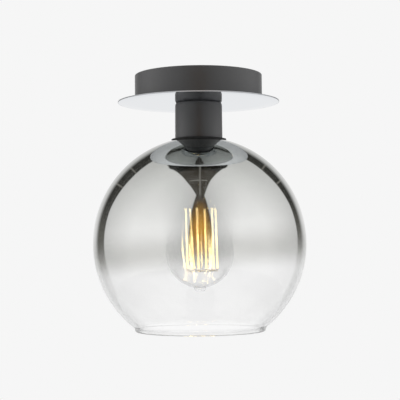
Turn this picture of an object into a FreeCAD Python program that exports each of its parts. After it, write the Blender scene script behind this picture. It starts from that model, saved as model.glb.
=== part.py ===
"""Semi flush ceiling light with a mirrored glass globe, hanging from a ceiling at z = 0.

Lengths are in millimetres. +Z points up, and the origin is on the ceiling plane, on the light's axis.
A "drop" is a distance below the ceiling, so a point at drop d has z = -d.
"""
import FreeCAD, Part
import math
import os

V = FreeCAD.Vector
UP = V(0, 0, 1)
FULL_TURN = 360.0

# Clearances
HOLE_GAP = 0.15  # radius of a hole over that of the piece that passes through it
SEAT_GAP = 0.2  # between a piece that moves and the one that it rests on or presses against
THREAD_GAP = 0.3  # radius of a threaded hole over that of the thread that turns in it
EDGE_GAP = 0.3  # between the ears of the bracket and the wall of the canopy
TOUCH = 1e-6  # nearer than this, two points are one
THREAD_SINK = 0.25  # how far the foot of a thread reaches into the wall that carries it

# Ceiling bracket
STRAP_WIDTH = 20.0
STRAP_THICKNESS = 1.5
EAR_DROP = 15.0
BEND_RADIUS = 1.5
CEILING_HOLE_RADIUS = 2.25
CEILING_HOLE_SPACING = 84.0
CABLE_HOLE_RADIUS = 7.0
SET_SCREW_RADIUS = 2.0
SET_SCREW_LENGTH = 8.0
SET_SCREW_DROP = 9.0
SET_SCREW_SOCKET_FLATS = 2.0
SET_SCREW_SOCKET_DEPTH = 2.5

# Canopy and the mirror disc under it
CANOPY_RADIUS = 60.0
CANOPY_HEIGHT = 25.0
CANOPY_WALL = 1.2
CANOPY_EDGE = 0.7
MIRROR_RADIUS = 76.0
MIRROR_THICKNESS = 1.0
MIRROR_EDGE = 0.2

# Nipple, with the washer, the tag and the nuts on it
NIPPLE_RADIUS = 5.0
NIPPLE_BORE_RADIUS = 3.5
NIPPLE_ABOVE_NUT = 1.5
NIPPLE_CHAMFER = 0.5
NUT_FLATS = 14.0
NUT_HEIGHT = 4.0
WASHER_RADIUS = 9.0
WASHER_THICKNESS = 1.0
TAG_RADIUS = 8.0
TAG_THICKNESS = 0.8
TAG_BARREL_RADIUS = 1.6
TAG_BARREL_START = 11.0
TAG_BARREL_LENGTH = 6.0

# Terminal block under the strap
BLOCK_POLES = 3
BLOCK_PITCH = 9.0
BLOCK_DEPTH = 16.0
BLOCK_HEIGHT = 12.0
BLOCK_PLACE = -26.0
BARREL_RADIUS = 2.8
BARREL_BORE_RADIUS = 1.7
BARREL_LENGTH = 14.0
BARREL_DEPTH = 5.5
CLAMP_SCREW_RADIUS = 1.25
CLAMP_SCREW_SPACING = 8.0
CLAMP_SCREW_RECESS = 0.6
BLOCK_SCREW_RADIUS = 1.25
BLOCK_SCREW_HEAD_RADIUS = 2.3
BLOCK_SCREW_HEAD_HEIGHT = 1.5

# Insulated wires
WIRE_RADIUS = 1.0
WIRE_TIP_GAP = 0.1
WIRE_PAIR_OFFSET = 1.3
WIRE_BEND_LIMIT = 7.0
WIRE_RUN_SHARE = 0.45
EARTH_LOOP_PLACE = -42.0

# Cup that hides the lampholder
CUP_ROOM = 0.55
CUP_FLARE = 0.2
CUP_HEIGHT = 34.2
CUP_WALL = 1.2
CUP_TOP_THICKNESS = 1.4
CUP_SHOULDER_WIDTH = 2.0
CUP_SHOULDER_HEIGHT = 3.4

# Lampholder
HOLDER_CAP_LAP = 1.05
HOLDER_CAP_LAP_HEIGHT = 6.0
HOLDER_CAP_SHOULDER = 7.0
HOLDER_CAP_WALL = 3.0
HOLDER_COLLAR_WALL = 2.85
HOLDER_COLLAR_HEIGHT = 5.5
HOLDER_CAVITY_STEP = 1.2
HOLDER_CAVITY_DEPTH = 15.5
INSERT_BOSS_STEP = 1.2
INSERT_BOSS_HEIGHT = 3.0
INSERT_LEDGE = 1.8
INSERT_FLANGE_HEIGHT = 3.0
INSERT_BODY_HEIGHT = 10.0
SHELL_ROOM = 1.4
SKIRT_WALL = 3.4
SKIRT_THREAD_HEIGHT = 0.7
SKIRT_THREAD_PITCH = 2.5
SKIRT_THREAD_BASE = 1.4
SKIRT_THREAD_START = 2.0
SKIRT_END_MARGIN = 2.5
TERMINAL_WIDTH = 6.0
TERMINAL_DEPTH = 6.0
TERMINAL_HEIGHT = 5.2
TERMINAL_PLACE = 11.0
TERMINAL_BORE_RADIUS = 1.2
TERMINAL_SCREW_RADIUS = 1.25
TERMINAL_SCREW_HEAD_RADIUS = 2.0
TERMINAL_SCREW_HEAD_HEIGHT = 1.5
TERMINAL_BORE_DEPTH = 2.4
SHELL_WALL = 1.0
SHELL_PLATE = 0.6
SHELL_PLATE_HOLE_RADIUS = 7.0
SHELL_LENGTH = 26.0
RIVET_RADIUS = 1.3
RIVET_HEAD_RADIUS = 2.0
RIVET_HEAD_HEIGHT = 0.8
RIVET_DEPTH = 6.0
SHELL_RIVET_PLACE = 9.5
CONTACT_STRIP_WIDTH = 5.0
CONTACT_STRIP_THICKNESS = 0.4
CONTACT_STRIP_REACH = 5.6
CONTACT_SPRING_HEIGHT = 1.5
CONTACT_RIVET_RADIUS = 0.9
CONTACT_RIVET_PLACE = -4.2

# Lamp thread, a large Edison thread
LAMP_THREAD_PITCH = 3.629
LAMP_THREAD_ROOT = 12.1
LAMP_THREAD_HEIGHT = 1.0
LAMP_THREAD_BASE = 2.3

# Glass globe, its gasket and its ring
GLOBE_RADIUS = 100.0
GLASS_WALL = 2.8
GLOBE_HOLE_ROOM = 1.3
GLOBE_HOLE_POLISH = 0.6
GLOBE_RIM_RADIUS = 61.2
GLOBE_LIP = 3.0
GASKET_WIDTH = 5.2
GASKET_EDGE = 0.4
RING_WASHER_EDGE = 0.9
RING_WALL = 4.1
RING_FLANGE_WIDTH = 2.9
RING_FLANGE_HEIGHT = 2.2
RING_HEIGHT = 9.0
RING_TRAVEL = 10.0
RING_NOTCHES = 12
RING_NOTCH_RADIUS = 1.2

# Lamp
BULB_CONTACT_RADIUS = 4.8
BULB_CONTACT_HEIGHT = 0.8
BULB_CONTACT_STEM_RADIUS = 1.0
BULB_CONTACT_STEM_LENGTH = 5.0
INSULATOR_CONE = 3.4
INSULATOR_SKIRT = 2.2
BULB_CAP_LENGTH = 27.0
BULB_CAP_WALL = 0.5
BULB_CAP_THREAD_START = 7.5
BULB_CAP_THREAD_TURNS = 4.3
NECK_PLUG_LENGTH = 9.0
NECK_FLARE = 2.15
NECK_LENGTH = 14.0
BULB_RADIUS = 32.0
BULB_WIDEST = 106.5
BULB_GLASS_WALL = 0.8
BULB_NECK_CURVE = 22.0
BULB_BELLY_CURVE = 26.0
BULB_TIP_RADIUS = 5.6
BULB_TIP_HEIGHT = 3.3
BOARD_ROOM = 2.1
BOARD_THICKNESS = 1.0
BOARD_PLACE = 14.0
CAPACITOR_RADIUS = 3.2
CAPACITOR_HEIGHT = 5.5
CAPACITOR_PLACE = 4.5
CHIP_SIDE = 4.0
CHIP_HEIGHT = 1.5
STEM_FLARE_ROOM = 0.25
STEM_FLARE_LENGTH = 14.0
STEM_PRESS_RADIUS = 5.0
STEM_PRESS_LENGTH = 12.0
STEM_WALL = 1.2
STEM_ROD_RADIUS = 1.5
STEM_BUTTON_RADIUS = 2.2
STEM_BUTTON_HEIGHT = 3.0
LEAD_RADIUS = 0.4
LEAD_OFFSET = 3.2
LEAD_END = 53.0
BRANCH_RADIUS = 0.3
BRANCH_PIN = 1.2
WELD_BEAD = 0.12
FILAMENT_COUNT = 6
FILAMENT_RADIUS = 0.9
FILAMENT_LENGTH = 57.0
FILAMENT_TOP = 63.6
FILAMENT_RING_RADIUS = 14.6
FILAMENT_TURN_SHARE = 0.25
SUPPORT_WAVE = 1.2
SUPPORT_SPOKES = 3

# Radii that follow from the lamp thread, from the inside out
LAMP_THREAD_CREST = LAMP_THREAD_ROOT + LAMP_THREAD_HEIGHT
BULB_PLUG_RADIUS = LAMP_THREAD_ROOT - BULB_CAP_WALL - HOLE_GAP
NECK_RADIUS = BULB_PLUG_RADIUS + NECK_FLARE
BOARD_RADIUS = LAMP_THREAD_ROOT - BULB_CAP_WALL - BOARD_ROOM
STEM_FLARE_RADIUS = BULB_PLUG_RADIUS - BULB_GLASS_WALL - STEM_FLARE_ROOM
SHELL_RADIUS = LAMP_THREAD_CREST + THREAD_GAP + SHELL_WALL
SKIRT_BORE_RADIUS = SHELL_RADIUS + SHELL_ROOM
SKIRT_RADIUS = SKIRT_BORE_RADIUS + SKIRT_WALL
SKIRT_THREAD_RADIUS = SKIRT_RADIUS + SKIRT_THREAD_HEIGHT
INSERT_BODY_RADIUS = SKIRT_BORE_RADIUS - SEAT_GAP
INSERT_FLANGE_RADIUS = INSERT_BODY_RADIUS + INSERT_LEDGE
HOLDER_CAVITY_RADIUS = INSERT_FLANGE_RADIUS - HOLDER_CAVITY_STEP
INSERT_BOSS_RADIUS = HOLDER_CAVITY_RADIUS - INSERT_BOSS_STEP
HOLDER_CAP_RADIUS = SKIRT_RADIUS + HOLE_GAP + HOLDER_CAP_LAP
HOLDER_COLLAR_RADIUS = NIPPLE_RADIUS + HOLE_GAP + HOLDER_COLLAR_WALL
CUP_TOP_RADIUS = HOLDER_CAP_RADIUS + CUP_ROOM + CUP_WALL
CUP_RIM_RADIUS = CUP_TOP_RADIUS + CUP_FLARE
GLOBE_HOLE_RADIUS = SKIRT_THREAD_RADIUS + GLOBE_HOLE_ROOM
GASKET_INNER_RADIUS = GLOBE_HOLE_RADIUS + SEAT_GAP
GASKET_OUTER_RADIUS = GASKET_INNER_RADIUS + GASKET_WIDTH
RING_BORE_RADIUS = SKIRT_RADIUS + THREAD_GAP
RING_BODY_RADIUS = RING_BORE_RADIUS + RING_WALL
RING_FLANGE_RADIUS = RING_BODY_RADIUS + RING_FLANGE_WIDTH
RING_WASHER_INNER_RADIUS = GLOBE_HOLE_RADIUS + 2 * SEAT_GAP

# Levels that follow from the sizes above, as drops below the ceiling
CANOPY_FLOOR = CANOPY_HEIGHT - CANOPY_WALL
WASHER_TOP = CANOPY_FLOOR - WASHER_THICKNESS
TAG_TOP = WASHER_TOP - TAG_THICKNESS
CANOPY_NUT_TOP = TAG_TOP - NUT_HEIGHT
NIPPLE_TOP = CANOPY_NUT_TOP - NIPPLE_ABOVE_NUT
MIRROR_BOTTOM = CANOPY_HEIGHT + MIRROR_THICKNESS
CUP_INSIDE_TOP = MIRROR_BOTTOM + CUP_TOP_THICKNESS
CUP_RIM = MIRROR_BOTTOM + CUP_HEIGHT
COVER_NUT_BOTTOM = CUP_INSIDE_TOP + NUT_HEIGHT
HOLDER_TOP = COVER_NUT_BOTTOM
HOLDER_COLLAR_END = HOLDER_TOP + HOLDER_COLLAR_HEIGHT
NIPPLE_BOTTOM = HOLDER_COLLAR_END - NIPPLE_CHAMFER
CAVITY_END = HOLDER_TOP + HOLDER_CAVITY_DEPTH
INSERT_TOP = CAVITY_END - INSERT_BOSS_HEIGHT
FLANGE_END = CAVITY_END + INSERT_FLANGE_HEIGHT
INSERT_BOTTOM = FLANGE_END + INSERT_BODY_HEIGHT
TERMINAL_TOP = INSERT_TOP - TERMINAL_HEIGHT
TERMINAL_BORE = TERMINAL_TOP + TERMINAL_BORE_DEPTH
BULB_TOP = INSERT_BOTTOM + CONTACT_STRIP_THICKNESS + CONTACT_SPRING_HEIGHT + SEAT_GAP / 2
SHELL_END = INSERT_BOTTOM + SHELL_LENGTH
BARREL_DROP = STRAP_THICKNESS + BARREL_DEPTH
BLOCK_BOTTOM = STRAP_THICKNESS + BLOCK_HEIGHT
TAG_BARREL_DROP = WASHER_TOP - TAG_BARREL_RADIUS

# Globe levels: the gasket's thin inner edge sets how high the sphere sits
GLASS_INNER_RADIUS = GLOBE_RADIUS - GLASS_WALL
GASKET_TOP = CUP_RIM + SEAT_GAP
GLOBE_CENTRE = GASKET_TOP + GASKET_EDGE + math.sqrt(GLOBE_RADIUS**2 - GASKET_INNER_RADIUS**2)
GLOBE_RIM = GLOBE_CENTRE + math.sqrt(GLOBE_RADIUS**2 - GLOBE_RIM_RADIUS**2)
GLOBE_BOTTOM = GLOBE_RIM + GLOBE_LIP
RING_WASHER_BOTTOM = (
    GLOBE_CENTRE - math.sqrt(GLASS_INNER_RADIUS**2 - RING_FLANGE_RADIUS**2) + RING_WASHER_EDGE
)
RING_TOP = RING_WASHER_BOTTOM + SEAT_GAP
RING_BOTTOM = RING_TOP + RING_HEIGHT
SKIRT_END = RING_BOTTOM + RING_TRAVEL + SKIRT_END_MARGIN

# Lamp levels
BULB_CAP_END = BULB_TOP + BULB_CAP_LENGTH
NECK_END = BULB_CAP_END + NECK_LENGTH
BULB_WIDEST_DROP = BULB_TOP + BULB_WIDEST
BULB_DOME = BULB_WIDEST_DROP + BULB_RADIUS
BOARD_TOP = BULB_TOP + BOARD_PLACE
FILAMENT_START = BULB_TOP + FILAMENT_TOP
FILAMENT_END = FILAMENT_START + FILAMENT_LENGTH
LEAD_FORK = BULB_TOP + LEAD_END
STEM_TOP = BULB_CAP_END - NECK_PLUG_LENGTH + BULB_GLASS_WALL

# Where the ears stand: flat, inside the round wall of the canopy
EAR_FACE = math.sqrt((CANOPY_RADIUS - CANOPY_WALL) ** 2 - (STRAP_WIDTH / 2) ** 2) - EDGE_GAP


def point(radius, drop):
    """A point of a lathe outline."""
    return V(radius, 0, -drop)


def cylinder(radius, top, bottom, x=0.0, y=0.0):
    """An upright cylinder between two drops."""
    return Part.makeCylinder(radius, bottom - top, V(x, y, -bottom))


def tube(outer, inner, top, bottom):
    """An upright tube between two drops."""
    return cylinder(outer, top, bottom).cut(cylinder(inner, top, bottom))


def rod_along_x(radius, start, end, y, drop):
    """A level cylinder from x = start to x = end."""
    return Part.makeCylinder(radius, end - start, V(start, y, -drop), V(1, 0, 0))


def box(x_range, y_range, top, bottom):
    """A block between two drops."""
    corner = V(x_range[0], y_range[0], -bottom)
    return Part.makeBox(x_range[1] - x_range[0], y_range[1] - y_range[0], bottom - top, corner)


def polar(radius, degrees, drop):
    """A point at an angle round the light's axis."""
    turn = math.radians(degrees)
    return V(radius * math.cos(turn), radius * math.sin(turn), -drop)


class Outline:
    """A closed outline of lines, arcs and curves in the XZ plane, turned about the light's axis."""

    def __init__(self, radius, drop):
        self.start = point(radius, drop)
        self.here = self.start
        self.edges = []

    def to(self, radius, drop):
        """Adds a straight edge."""
        end = point(radius, drop)
        self.edges.append(Part.makeLine(self.here, end))
        self.here = end
        return self

    def arc(self, middle, end):
        """Adds a round edge through a middle point."""
        self.edges.append(Part.Arc(self.here, point(*middle), point(*end)).toShape())
        self.here = point(*end)
        return self

    def curve(self, *poles):
        """Adds a Bezier edge with the poles given after the present point."""
        bezier = Part.BezierCurve()
        bezier.setPoles([self.here] + [point(*pole) for pole in poles])
        self.edges.append(bezier.toShape())
        self.here = point(*poles[-1])
        return self

    def lathe(self):
        """Closes the outline and turns it into a solid."""
        edges = list(self.edges)
        if self.here.distanceToPoint(self.start) > TOUCH:
            edges.append(Part.makeLine(self.here, self.start))
        face = Part.Face(Part.Wire(edges))
        return face.revolve(V(0, 0, 0), UP, FULL_TURN)


def upper_drop(sphere_radius, radius):
    """Drop of the upper half of a sphere about the globe's centre."""
    return GLOBE_CENTRE - math.sqrt(sphere_radius**2 - radius**2)


def hexagon_prism(flats, top, bottom):
    """A hexagonal bar about the light's axis."""
    corner = flats / 2 / math.cos(math.radians(30))
    corners = [polar(corner, 60 * step, bottom) for step in range(7)]
    return Part.Face(Part.makePolygon(corners)).extrude(V(0, 0, bottom - top))


def helical_ridge(root, crest, base, pitch, start, turns):
    """A rounded ridge that climbs a right-hand helix from a drop, sunk a little into its root."""
    helix = Part.makeHelix(pitch, pitch * turns, root)
    foot_low = V(root, 0, -base / 2)
    foot_high = V(root, 0, base / 2)
    back_low = V(root - THREAD_SINK, 0, -base / 2)
    back_high = V(root - THREAD_SINK, 0, base / 2)
    section = Part.Wire(
        [
            Part.makeLine(back_low, foot_low),
            Part.Arc(foot_low, V(crest, 0, 0), foot_high).toShape(),
            Part.makeLine(foot_high, back_high),
            Part.makeLine(back_high, back_low),
        ]
    )
    sweep = Part.BRepOffsetAPI.MakePipeShell(Part.Wire(helix))
    sweep.setFrenetMode(True)
    sweep.add(section)
    sweep.build()
    sweep.makeSolid()
    ridge = sweep.shape()
    ridge.translate(V(0, 0, -start))
    return ridge


def in_step(drop, reference, pitch):
    """The first drop at or below the given one that is a whole number of turns from a reference."""
    return reference + math.ceil((drop - reference) / pitch) * pitch


def bent_tube(points, radius, bend_limit):
    """A round bar along straight runs that are joined by tangent arcs."""
    edges = []
    radii = []
    here = points[0]
    for before, corner, after in zip(points, points[1:], points[2:]):
        arriving = (corner - before).normalize()
        leaving = (after - corner).normalize()
        half_turn = arriving.getAngle(leaving) / 2
        shorter = min((corner - before).Length, (after - corner).Length)
        bend = min(bend_limit, WIRE_RUN_SHARE * shorter / math.tan(half_turn))
        reach = bend * math.tan(half_turn)
        arc_start = corner - arriving * reach
        arc_end = corner + leaving * reach
        inward = (leaving - arriving).normalize()
        arc_middle = corner + inward * (bend / math.cos(half_turn) - bend)
        edges.append(Part.makeLine(here, arc_start))
        edges.append(Part.Arc(arc_start, arc_middle, arc_end).toShape())
        radii.append(round(bend, 2))
        here = arc_end
    edges.append(Part.makeLine(here, points[-1]))
    path = Part.Wire(edges)
    circle = Part.Wire(Part.makeCircle(radius, points[0], points[1] - points[0]))
    bar = path.makePipeShell([circle], True, False)
    print("bends", radii, "volume ratio", round(bar.Volume / (math.pi * radius**2 * path.Length), 4))
    return bar


def straight_wire(start, end, radius):
    """A thin straight round wire."""
    return Part.makeCylinder(radius, start.distanceToPoint(end), start, end - start)


def edges_at(shape, reach, drop):
    """The edges whose middle lies at x = plus or minus a reach, at a drop."""
    found = []
    for edge in shape.Edges:
        middle = edge.CenterOfMass
        if abs(abs(middle.x) - reach) < TOUCH and abs(middle.z + drop) < TOUCH:
            found.append(edge)
    return found


def ceiling_bracket():
    """A strap with an ear folded down at each end."""
    half = EAR_FACE
    half_width = STRAP_WIDTH / 2
    inside = half - STRAP_THICKNESS
    strap = box((-half, half), (-half_width, half_width), 0, EAR_DROP)
    strap = strap.cut(box((-inside, inside), (-half_width, half_width), STRAP_THICKNESS, EAR_DROP))
    strap = strap.makeFillet(BEND_RADIUS + STRAP_THICKNESS, edges_at(strap, half, 0))
    strap = strap.makeFillet(BEND_RADIUS, edges_at(strap, inside, STRAP_THICKNESS))
    strap = strap.cut(cylinder(CABLE_HOLE_RADIUS, 0, STRAP_THICKNESS))
    for side in (-1, 1):
        place = side * CEILING_HOLE_SPACING / 2
        strap = strap.cut(cylinder(CEILING_HOLE_RADIUS, 0, STRAP_THICKNESS, place))
    thread = rod_along_x(SET_SCREW_RADIUS + HOLE_GAP, -half, half, 0, SET_SCREW_DROP)
    strap = strap.cut(thread)
    tapped = cylinder(BLOCK_SCREW_RADIUS + HOLE_GAP, 0, STRAP_THICKNESS, BLOCK_PLACE, BLOCK_PITCH / 2)
    return strap.cut(tapped)


def canopy():
    """A shallow spun cup, open towards the ceiling."""
    inner = CANOPY_RADIUS - CANOPY_WALL
    hole = NIPPLE_RADIUS + HOLE_GAP
    lip = CANOPY_WALL / 2
    shell = (
        Outline(hole, CANOPY_HEIGHT)
        .to(CANOPY_RADIUS - CANOPY_EDGE, CANOPY_HEIGHT)
        .curve((CANOPY_RADIUS, CANOPY_HEIGHT), (CANOPY_RADIUS, CANOPY_HEIGHT - CANOPY_EDGE))
        .to(CANOPY_RADIUS, lip)
        .arc((CANOPY_RADIUS - lip, 0), (inner, lip))
        .to(inner, CANOPY_FLOOR)
        .to(hole, CANOPY_FLOOR)
        .lathe()
    )
    reach = CANOPY_RADIUS + CANOPY_WALL
    return shell.cut(rod_along_x(SET_SCREW_RADIUS + HOLE_GAP, -reach, reach, 0, SET_SCREW_DROP))


def canopy_screws():
    """Two headless set screws, flush with the canopy wall."""
    screws = []
    flats = SET_SCREW_SOCKET_FLATS / 2 / math.cos(math.radians(30))
    for side in (-1, 1):
        face = math.sqrt(CANOPY_RADIUS**2 - SET_SCREW_RADIUS**2)
        outward = V(side, 0, 0)
        start = V(side * face, 0, -SET_SCREW_DROP)
        screw = Part.makeCylinder(SET_SCREW_RADIUS, SET_SCREW_LENGTH, start, -outward)
        corners = []
        for step in range(7):
            turn = math.radians(60 * step)
            corners.append(V(side * face, flats * math.cos(turn), -SET_SCREW_DROP + flats * math.sin(turn)))
        socket = Part.Face(Part.makePolygon(corners)).extrude(-outward * SET_SCREW_SOCKET_DEPTH)
        screws.append(screw.cut(socket))
    return Part.makeCompound(screws)


def block_poles():
    """Where the poles of the terminal block lie along Y."""
    middle = (BLOCK_POLES - 1) / 2
    return [(pole - middle) * BLOCK_PITCH for pole in range(BLOCK_POLES)]


def clamp_places():
    """Where the clamp screws of the terminal block stand in X and Y."""
    offsets = (-CLAMP_SCREW_SPACING / 2, CLAMP_SCREW_SPACING / 2)
    return [(BLOCK_PLACE + offset, pole) for pole in block_poles() for offset in offsets]


def terminal_block():
    """A moulded block with a level channel for each pole and wells for the clamp screws."""
    half_depth = BLOCK_DEPTH / 2
    half_length = BLOCK_POLES * BLOCK_PITCH / 2
    x_range = (BLOCK_PLACE - half_depth, BLOCK_PLACE + half_depth)
    block = box(x_range, (-half_length, half_length), STRAP_THICKNESS, BLOCK_BOTTOM)
    for pole in block_poles():
        block = block.cut(rod_along_x(BARREL_RADIUS + HOLE_GAP, x_range[0], x_range[1], pole, BARREL_DROP))
    for x, y in clamp_places():
        block = block.cut(cylinder(CLAMP_SCREW_RADIUS + HOLE_GAP, BARREL_DROP, BLOCK_BOTTOM, x, y))
    screw_y = BLOCK_PITCH / 2
    hole = BLOCK_SCREW_RADIUS + HOLE_GAP
    block = block.cut(cylinder(hole, STRAP_THICKNESS, BLOCK_BOTTOM, BLOCK_PLACE, screw_y))
    recess_top = BLOCK_BOTTOM - BLOCK_SCREW_HEAD_HEIGHT
    recess = cylinder(BLOCK_SCREW_HEAD_RADIUS + HOLE_GAP, recess_top, BLOCK_BOTTOM, BLOCK_PLACE, screw_y)
    return block.cut(recess)


def terminal_barrels():
    """A brass barrel for each pole, drilled for its two clamp screws."""
    half = BARREL_LENGTH / 2
    barrels = []
    for pole in block_poles():
        start = BLOCK_PLACE - half
        end = BLOCK_PLACE + half
        barrel = rod_along_x(BARREL_RADIUS, start, end, pole, BARREL_DROP)
        barrel = barrel.cut(rod_along_x(BARREL_BORE_RADIUS, start, end, pole, BARREL_DROP))
        for x, y in clamp_places():
            if y == pole:
                bottom = BARREL_DROP + BARREL_RADIUS
                barrel = barrel.cut(cylinder(CLAMP_SCREW_RADIUS + HOLE_GAP / 2, BARREL_DROP, bottom, x, y))
        barrels.append(barrel)
    return Part.makeCompound(barrels)


def slotted_screw(radius, head_radius, head_top, head_bottom, tip, x, y):
    """An upright screw with a slotted head at one end and its tip at the other."""
    screw = cylinder(radius, min(tip, head_top), max(tip, head_bottom), x, y)
    screw = screw.fuse(cylinder(head_radius, head_top, head_bottom, x, y))
    slot_half = head_radius / 5
    slot_depth = (head_bottom - head_top) / 2
    slot_x = (x - head_radius, x + head_radius)
    slot_y = (y - slot_half, y + slot_half)
    if tip > head_bottom:
        return screw.cut(box(slot_x, slot_y, head_top, head_top + slot_depth))
    return screw.cut(box(slot_x, slot_y, head_bottom - slot_depth, head_bottom))


def terminal_screws():
    """The clamp screws of the terminal block, turned in from below."""
    tip = BARREL_DROP + WIRE_RADIUS + WIRE_TIP_GAP
    end = BLOCK_BOTTOM - CLAMP_SCREW_RECESS
    head_top = end - CLAMP_SCREW_RADIUS
    screws = [
        slotted_screw(CLAMP_SCREW_RADIUS - HOLE_GAP / 2, CLAMP_SCREW_RADIUS, head_top, end, tip, x, y)
        for x, y in clamp_places()
    ]
    return Part.makeCompound(screws)


def block_screw():
    """The screw that holds the terminal block on the strap."""
    head_top = BLOCK_BOTTOM - BLOCK_SCREW_HEAD_HEIGHT
    tip = STRAP_THICKNESS / 4
    return slotted_screw(
        BLOCK_SCREW_RADIUS, BLOCK_SCREW_HEAD_RADIUS, head_top, BLOCK_BOTTOM, tip, BLOCK_PLACE, BLOCK_PITCH / 2
    )


def lamp_wire(pole, side):
    """A wire from a barrel of the block, down through the nipple and out to a lampholder terminal."""
    offset = side * WIRE_PAIR_OFFSET
    turn_in = BLOCK_PLACE + BLOCK_DEPTH * 0.8
    points = [
        V(BLOCK_PLACE, pole, -BARREL_DROP),
        V(turn_in, pole, -BARREL_DROP),
        V(0, offset, -BARREL_DROP),
        V(0, offset, -TERMINAL_BORE),
        V(side * TERMINAL_PLACE, offset, -TERMINAL_BORE),
    ]
    return bent_tube(points, WIRE_RADIUS, WIRE_BEND_LIMIT)


def earth_wire(pole):
    """A wire that leaves the back of the block, loops under it and ends in the tag's barrel."""
    points = [
        V(BLOCK_PLACE, pole, -BARREL_DROP),
        V(EARTH_LOOP_PLACE, pole, -BARREL_DROP),
        V(EARTH_LOOP_PLACE, pole * 0.8, -TAG_BARREL_DROP),
        V(BLOCK_PLACE, 0, -TAG_BARREL_DROP),
        V(-TAG_BARREL_START - TAG_BARREL_LENGTH / 3, 0, -TAG_BARREL_DROP),
    ]
    return bent_tube(points, WIRE_RADIUS, WIRE_BEND_LIMIT)


def earth_tag():
    """A ring tag on the nipple with a crimped barrel on its tongue."""
    end = TAG_BARREL_START + TAG_BARREL_LENGTH
    half_tongue = TAG_BARREL_RADIUS
    tag = cylinder(TAG_RADIUS, TAG_TOP, WASHER_TOP)
    tag = tag.fuse(box((-end, 0), (-half_tongue, half_tongue), TAG_TOP, WASHER_TOP))
    tag = tag.fuse(rod_along_x(TAG_BARREL_RADIUS, -end, -TAG_BARREL_START, 0, TAG_BARREL_DROP))
    tag = tag.cut(cylinder(NIPPLE_RADIUS + HOLE_GAP, TAG_TOP, WASHER_TOP))
    return tag.cut(rod_along_x(WIRE_RADIUS + HOLE_GAP / 2, -end, -TAG_BARREL_START, 0, TAG_BARREL_DROP))


def nipple():
    """A hollow threaded tube through the whole stack."""
    return (
        Outline(NIPPLE_BORE_RADIUS, NIPPLE_TOP)
        .to(NIPPLE_RADIUS - NIPPLE_CHAMFER, NIPPLE_TOP)
        .to(NIPPLE_RADIUS, NIPPLE_TOP + NIPPLE_CHAMFER)
        .to(NIPPLE_RADIUS, NIPPLE_BOTTOM - NIPPLE_CHAMFER)
        .to(NIPPLE_RADIUS - NIPPLE_CHAMFER, NIPPLE_BOTTOM)
        .to(NIPPLE_BORE_RADIUS, NIPPLE_BOTTOM)
        .lathe()
    )


def hex_nut(top):
    """A hexagonal nut on the nipple, with its corners turned off."""
    bottom = top + NUT_HEIGHT
    nut = hexagon_prism(NUT_FLATS, top, bottom)
    corner = NUT_FLATS / 2 / math.cos(math.radians(30))
    flat = NUT_FLATS / 2
    rise = (corner - flat) / 2
    turned = (
        Outline(0, top)
        .to(flat, top)
        .to(corner, top + rise)
        .to(corner, bottom - rise)
        .to(flat, bottom)
        .to(0, bottom)
        .lathe()
    )
    return nut.common(turned).cut(cylinder(NIPPLE_RADIUS + HOLE_GAP, top, bottom))


def nipple_washer():
    """A flat washer between the canopy floor and the earth tag."""
    return tube(WASHER_RADIUS, NIPPLE_RADIUS + HOLE_GAP, WASHER_TOP, CANOPY_FLOOR)


def mirror_disc():
    """A thin polished disc, clamped between the canopy and the cup."""
    hole = NIPPLE_RADIUS + HOLE_GAP
    return (
        Outline(hole, CANOPY_HEIGHT)
        .to(MIRROR_RADIUS - MIRROR_EDGE, CANOPY_HEIGHT)
        .to(MIRROR_RADIUS, CANOPY_HEIGHT + MIRROR_EDGE)
        .to(MIRROR_RADIUS, MIRROR_BOTTOM - MIRROR_EDGE)
        .to(MIRROR_RADIUS - MIRROR_EDGE, MIRROR_BOTTOM)
        .to(hole, MIRROR_BOTTOM)
        .lathe()
    )


def lampholder_cover():
    """A deep cup with a soft shoulder, a shade wider at its rim."""
    hole = NIPPLE_RADIUS + HOLE_GAP
    shoulder_end = MIRROR_BOTTOM + CUP_SHOULDER_HEIGHT
    return (
        Outline(hole, MIRROR_BOTTOM)
        .to(CUP_TOP_RADIUS - CUP_SHOULDER_WIDTH, MIRROR_BOTTOM)
        .curve((CUP_TOP_RADIUS, MIRROR_BOTTOM), (CUP_TOP_RADIUS, shoulder_end))
        .to(CUP_RIM_RADIUS, CUP_RIM)
        .to(CUP_RIM_RADIUS - CUP_WALL, CUP_RIM)
        .to(CUP_TOP_RADIUS - CUP_WALL, shoulder_end)
        .curve(
            (CUP_TOP_RADIUS - CUP_WALL, CUP_INSIDE_TOP),
            (CUP_TOP_RADIUS - CUP_SHOULDER_WIDTH, CUP_INSIDE_TOP),
        )
        .to(hole, CUP_INSIDE_TOP)
        .lathe()
    )


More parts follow.
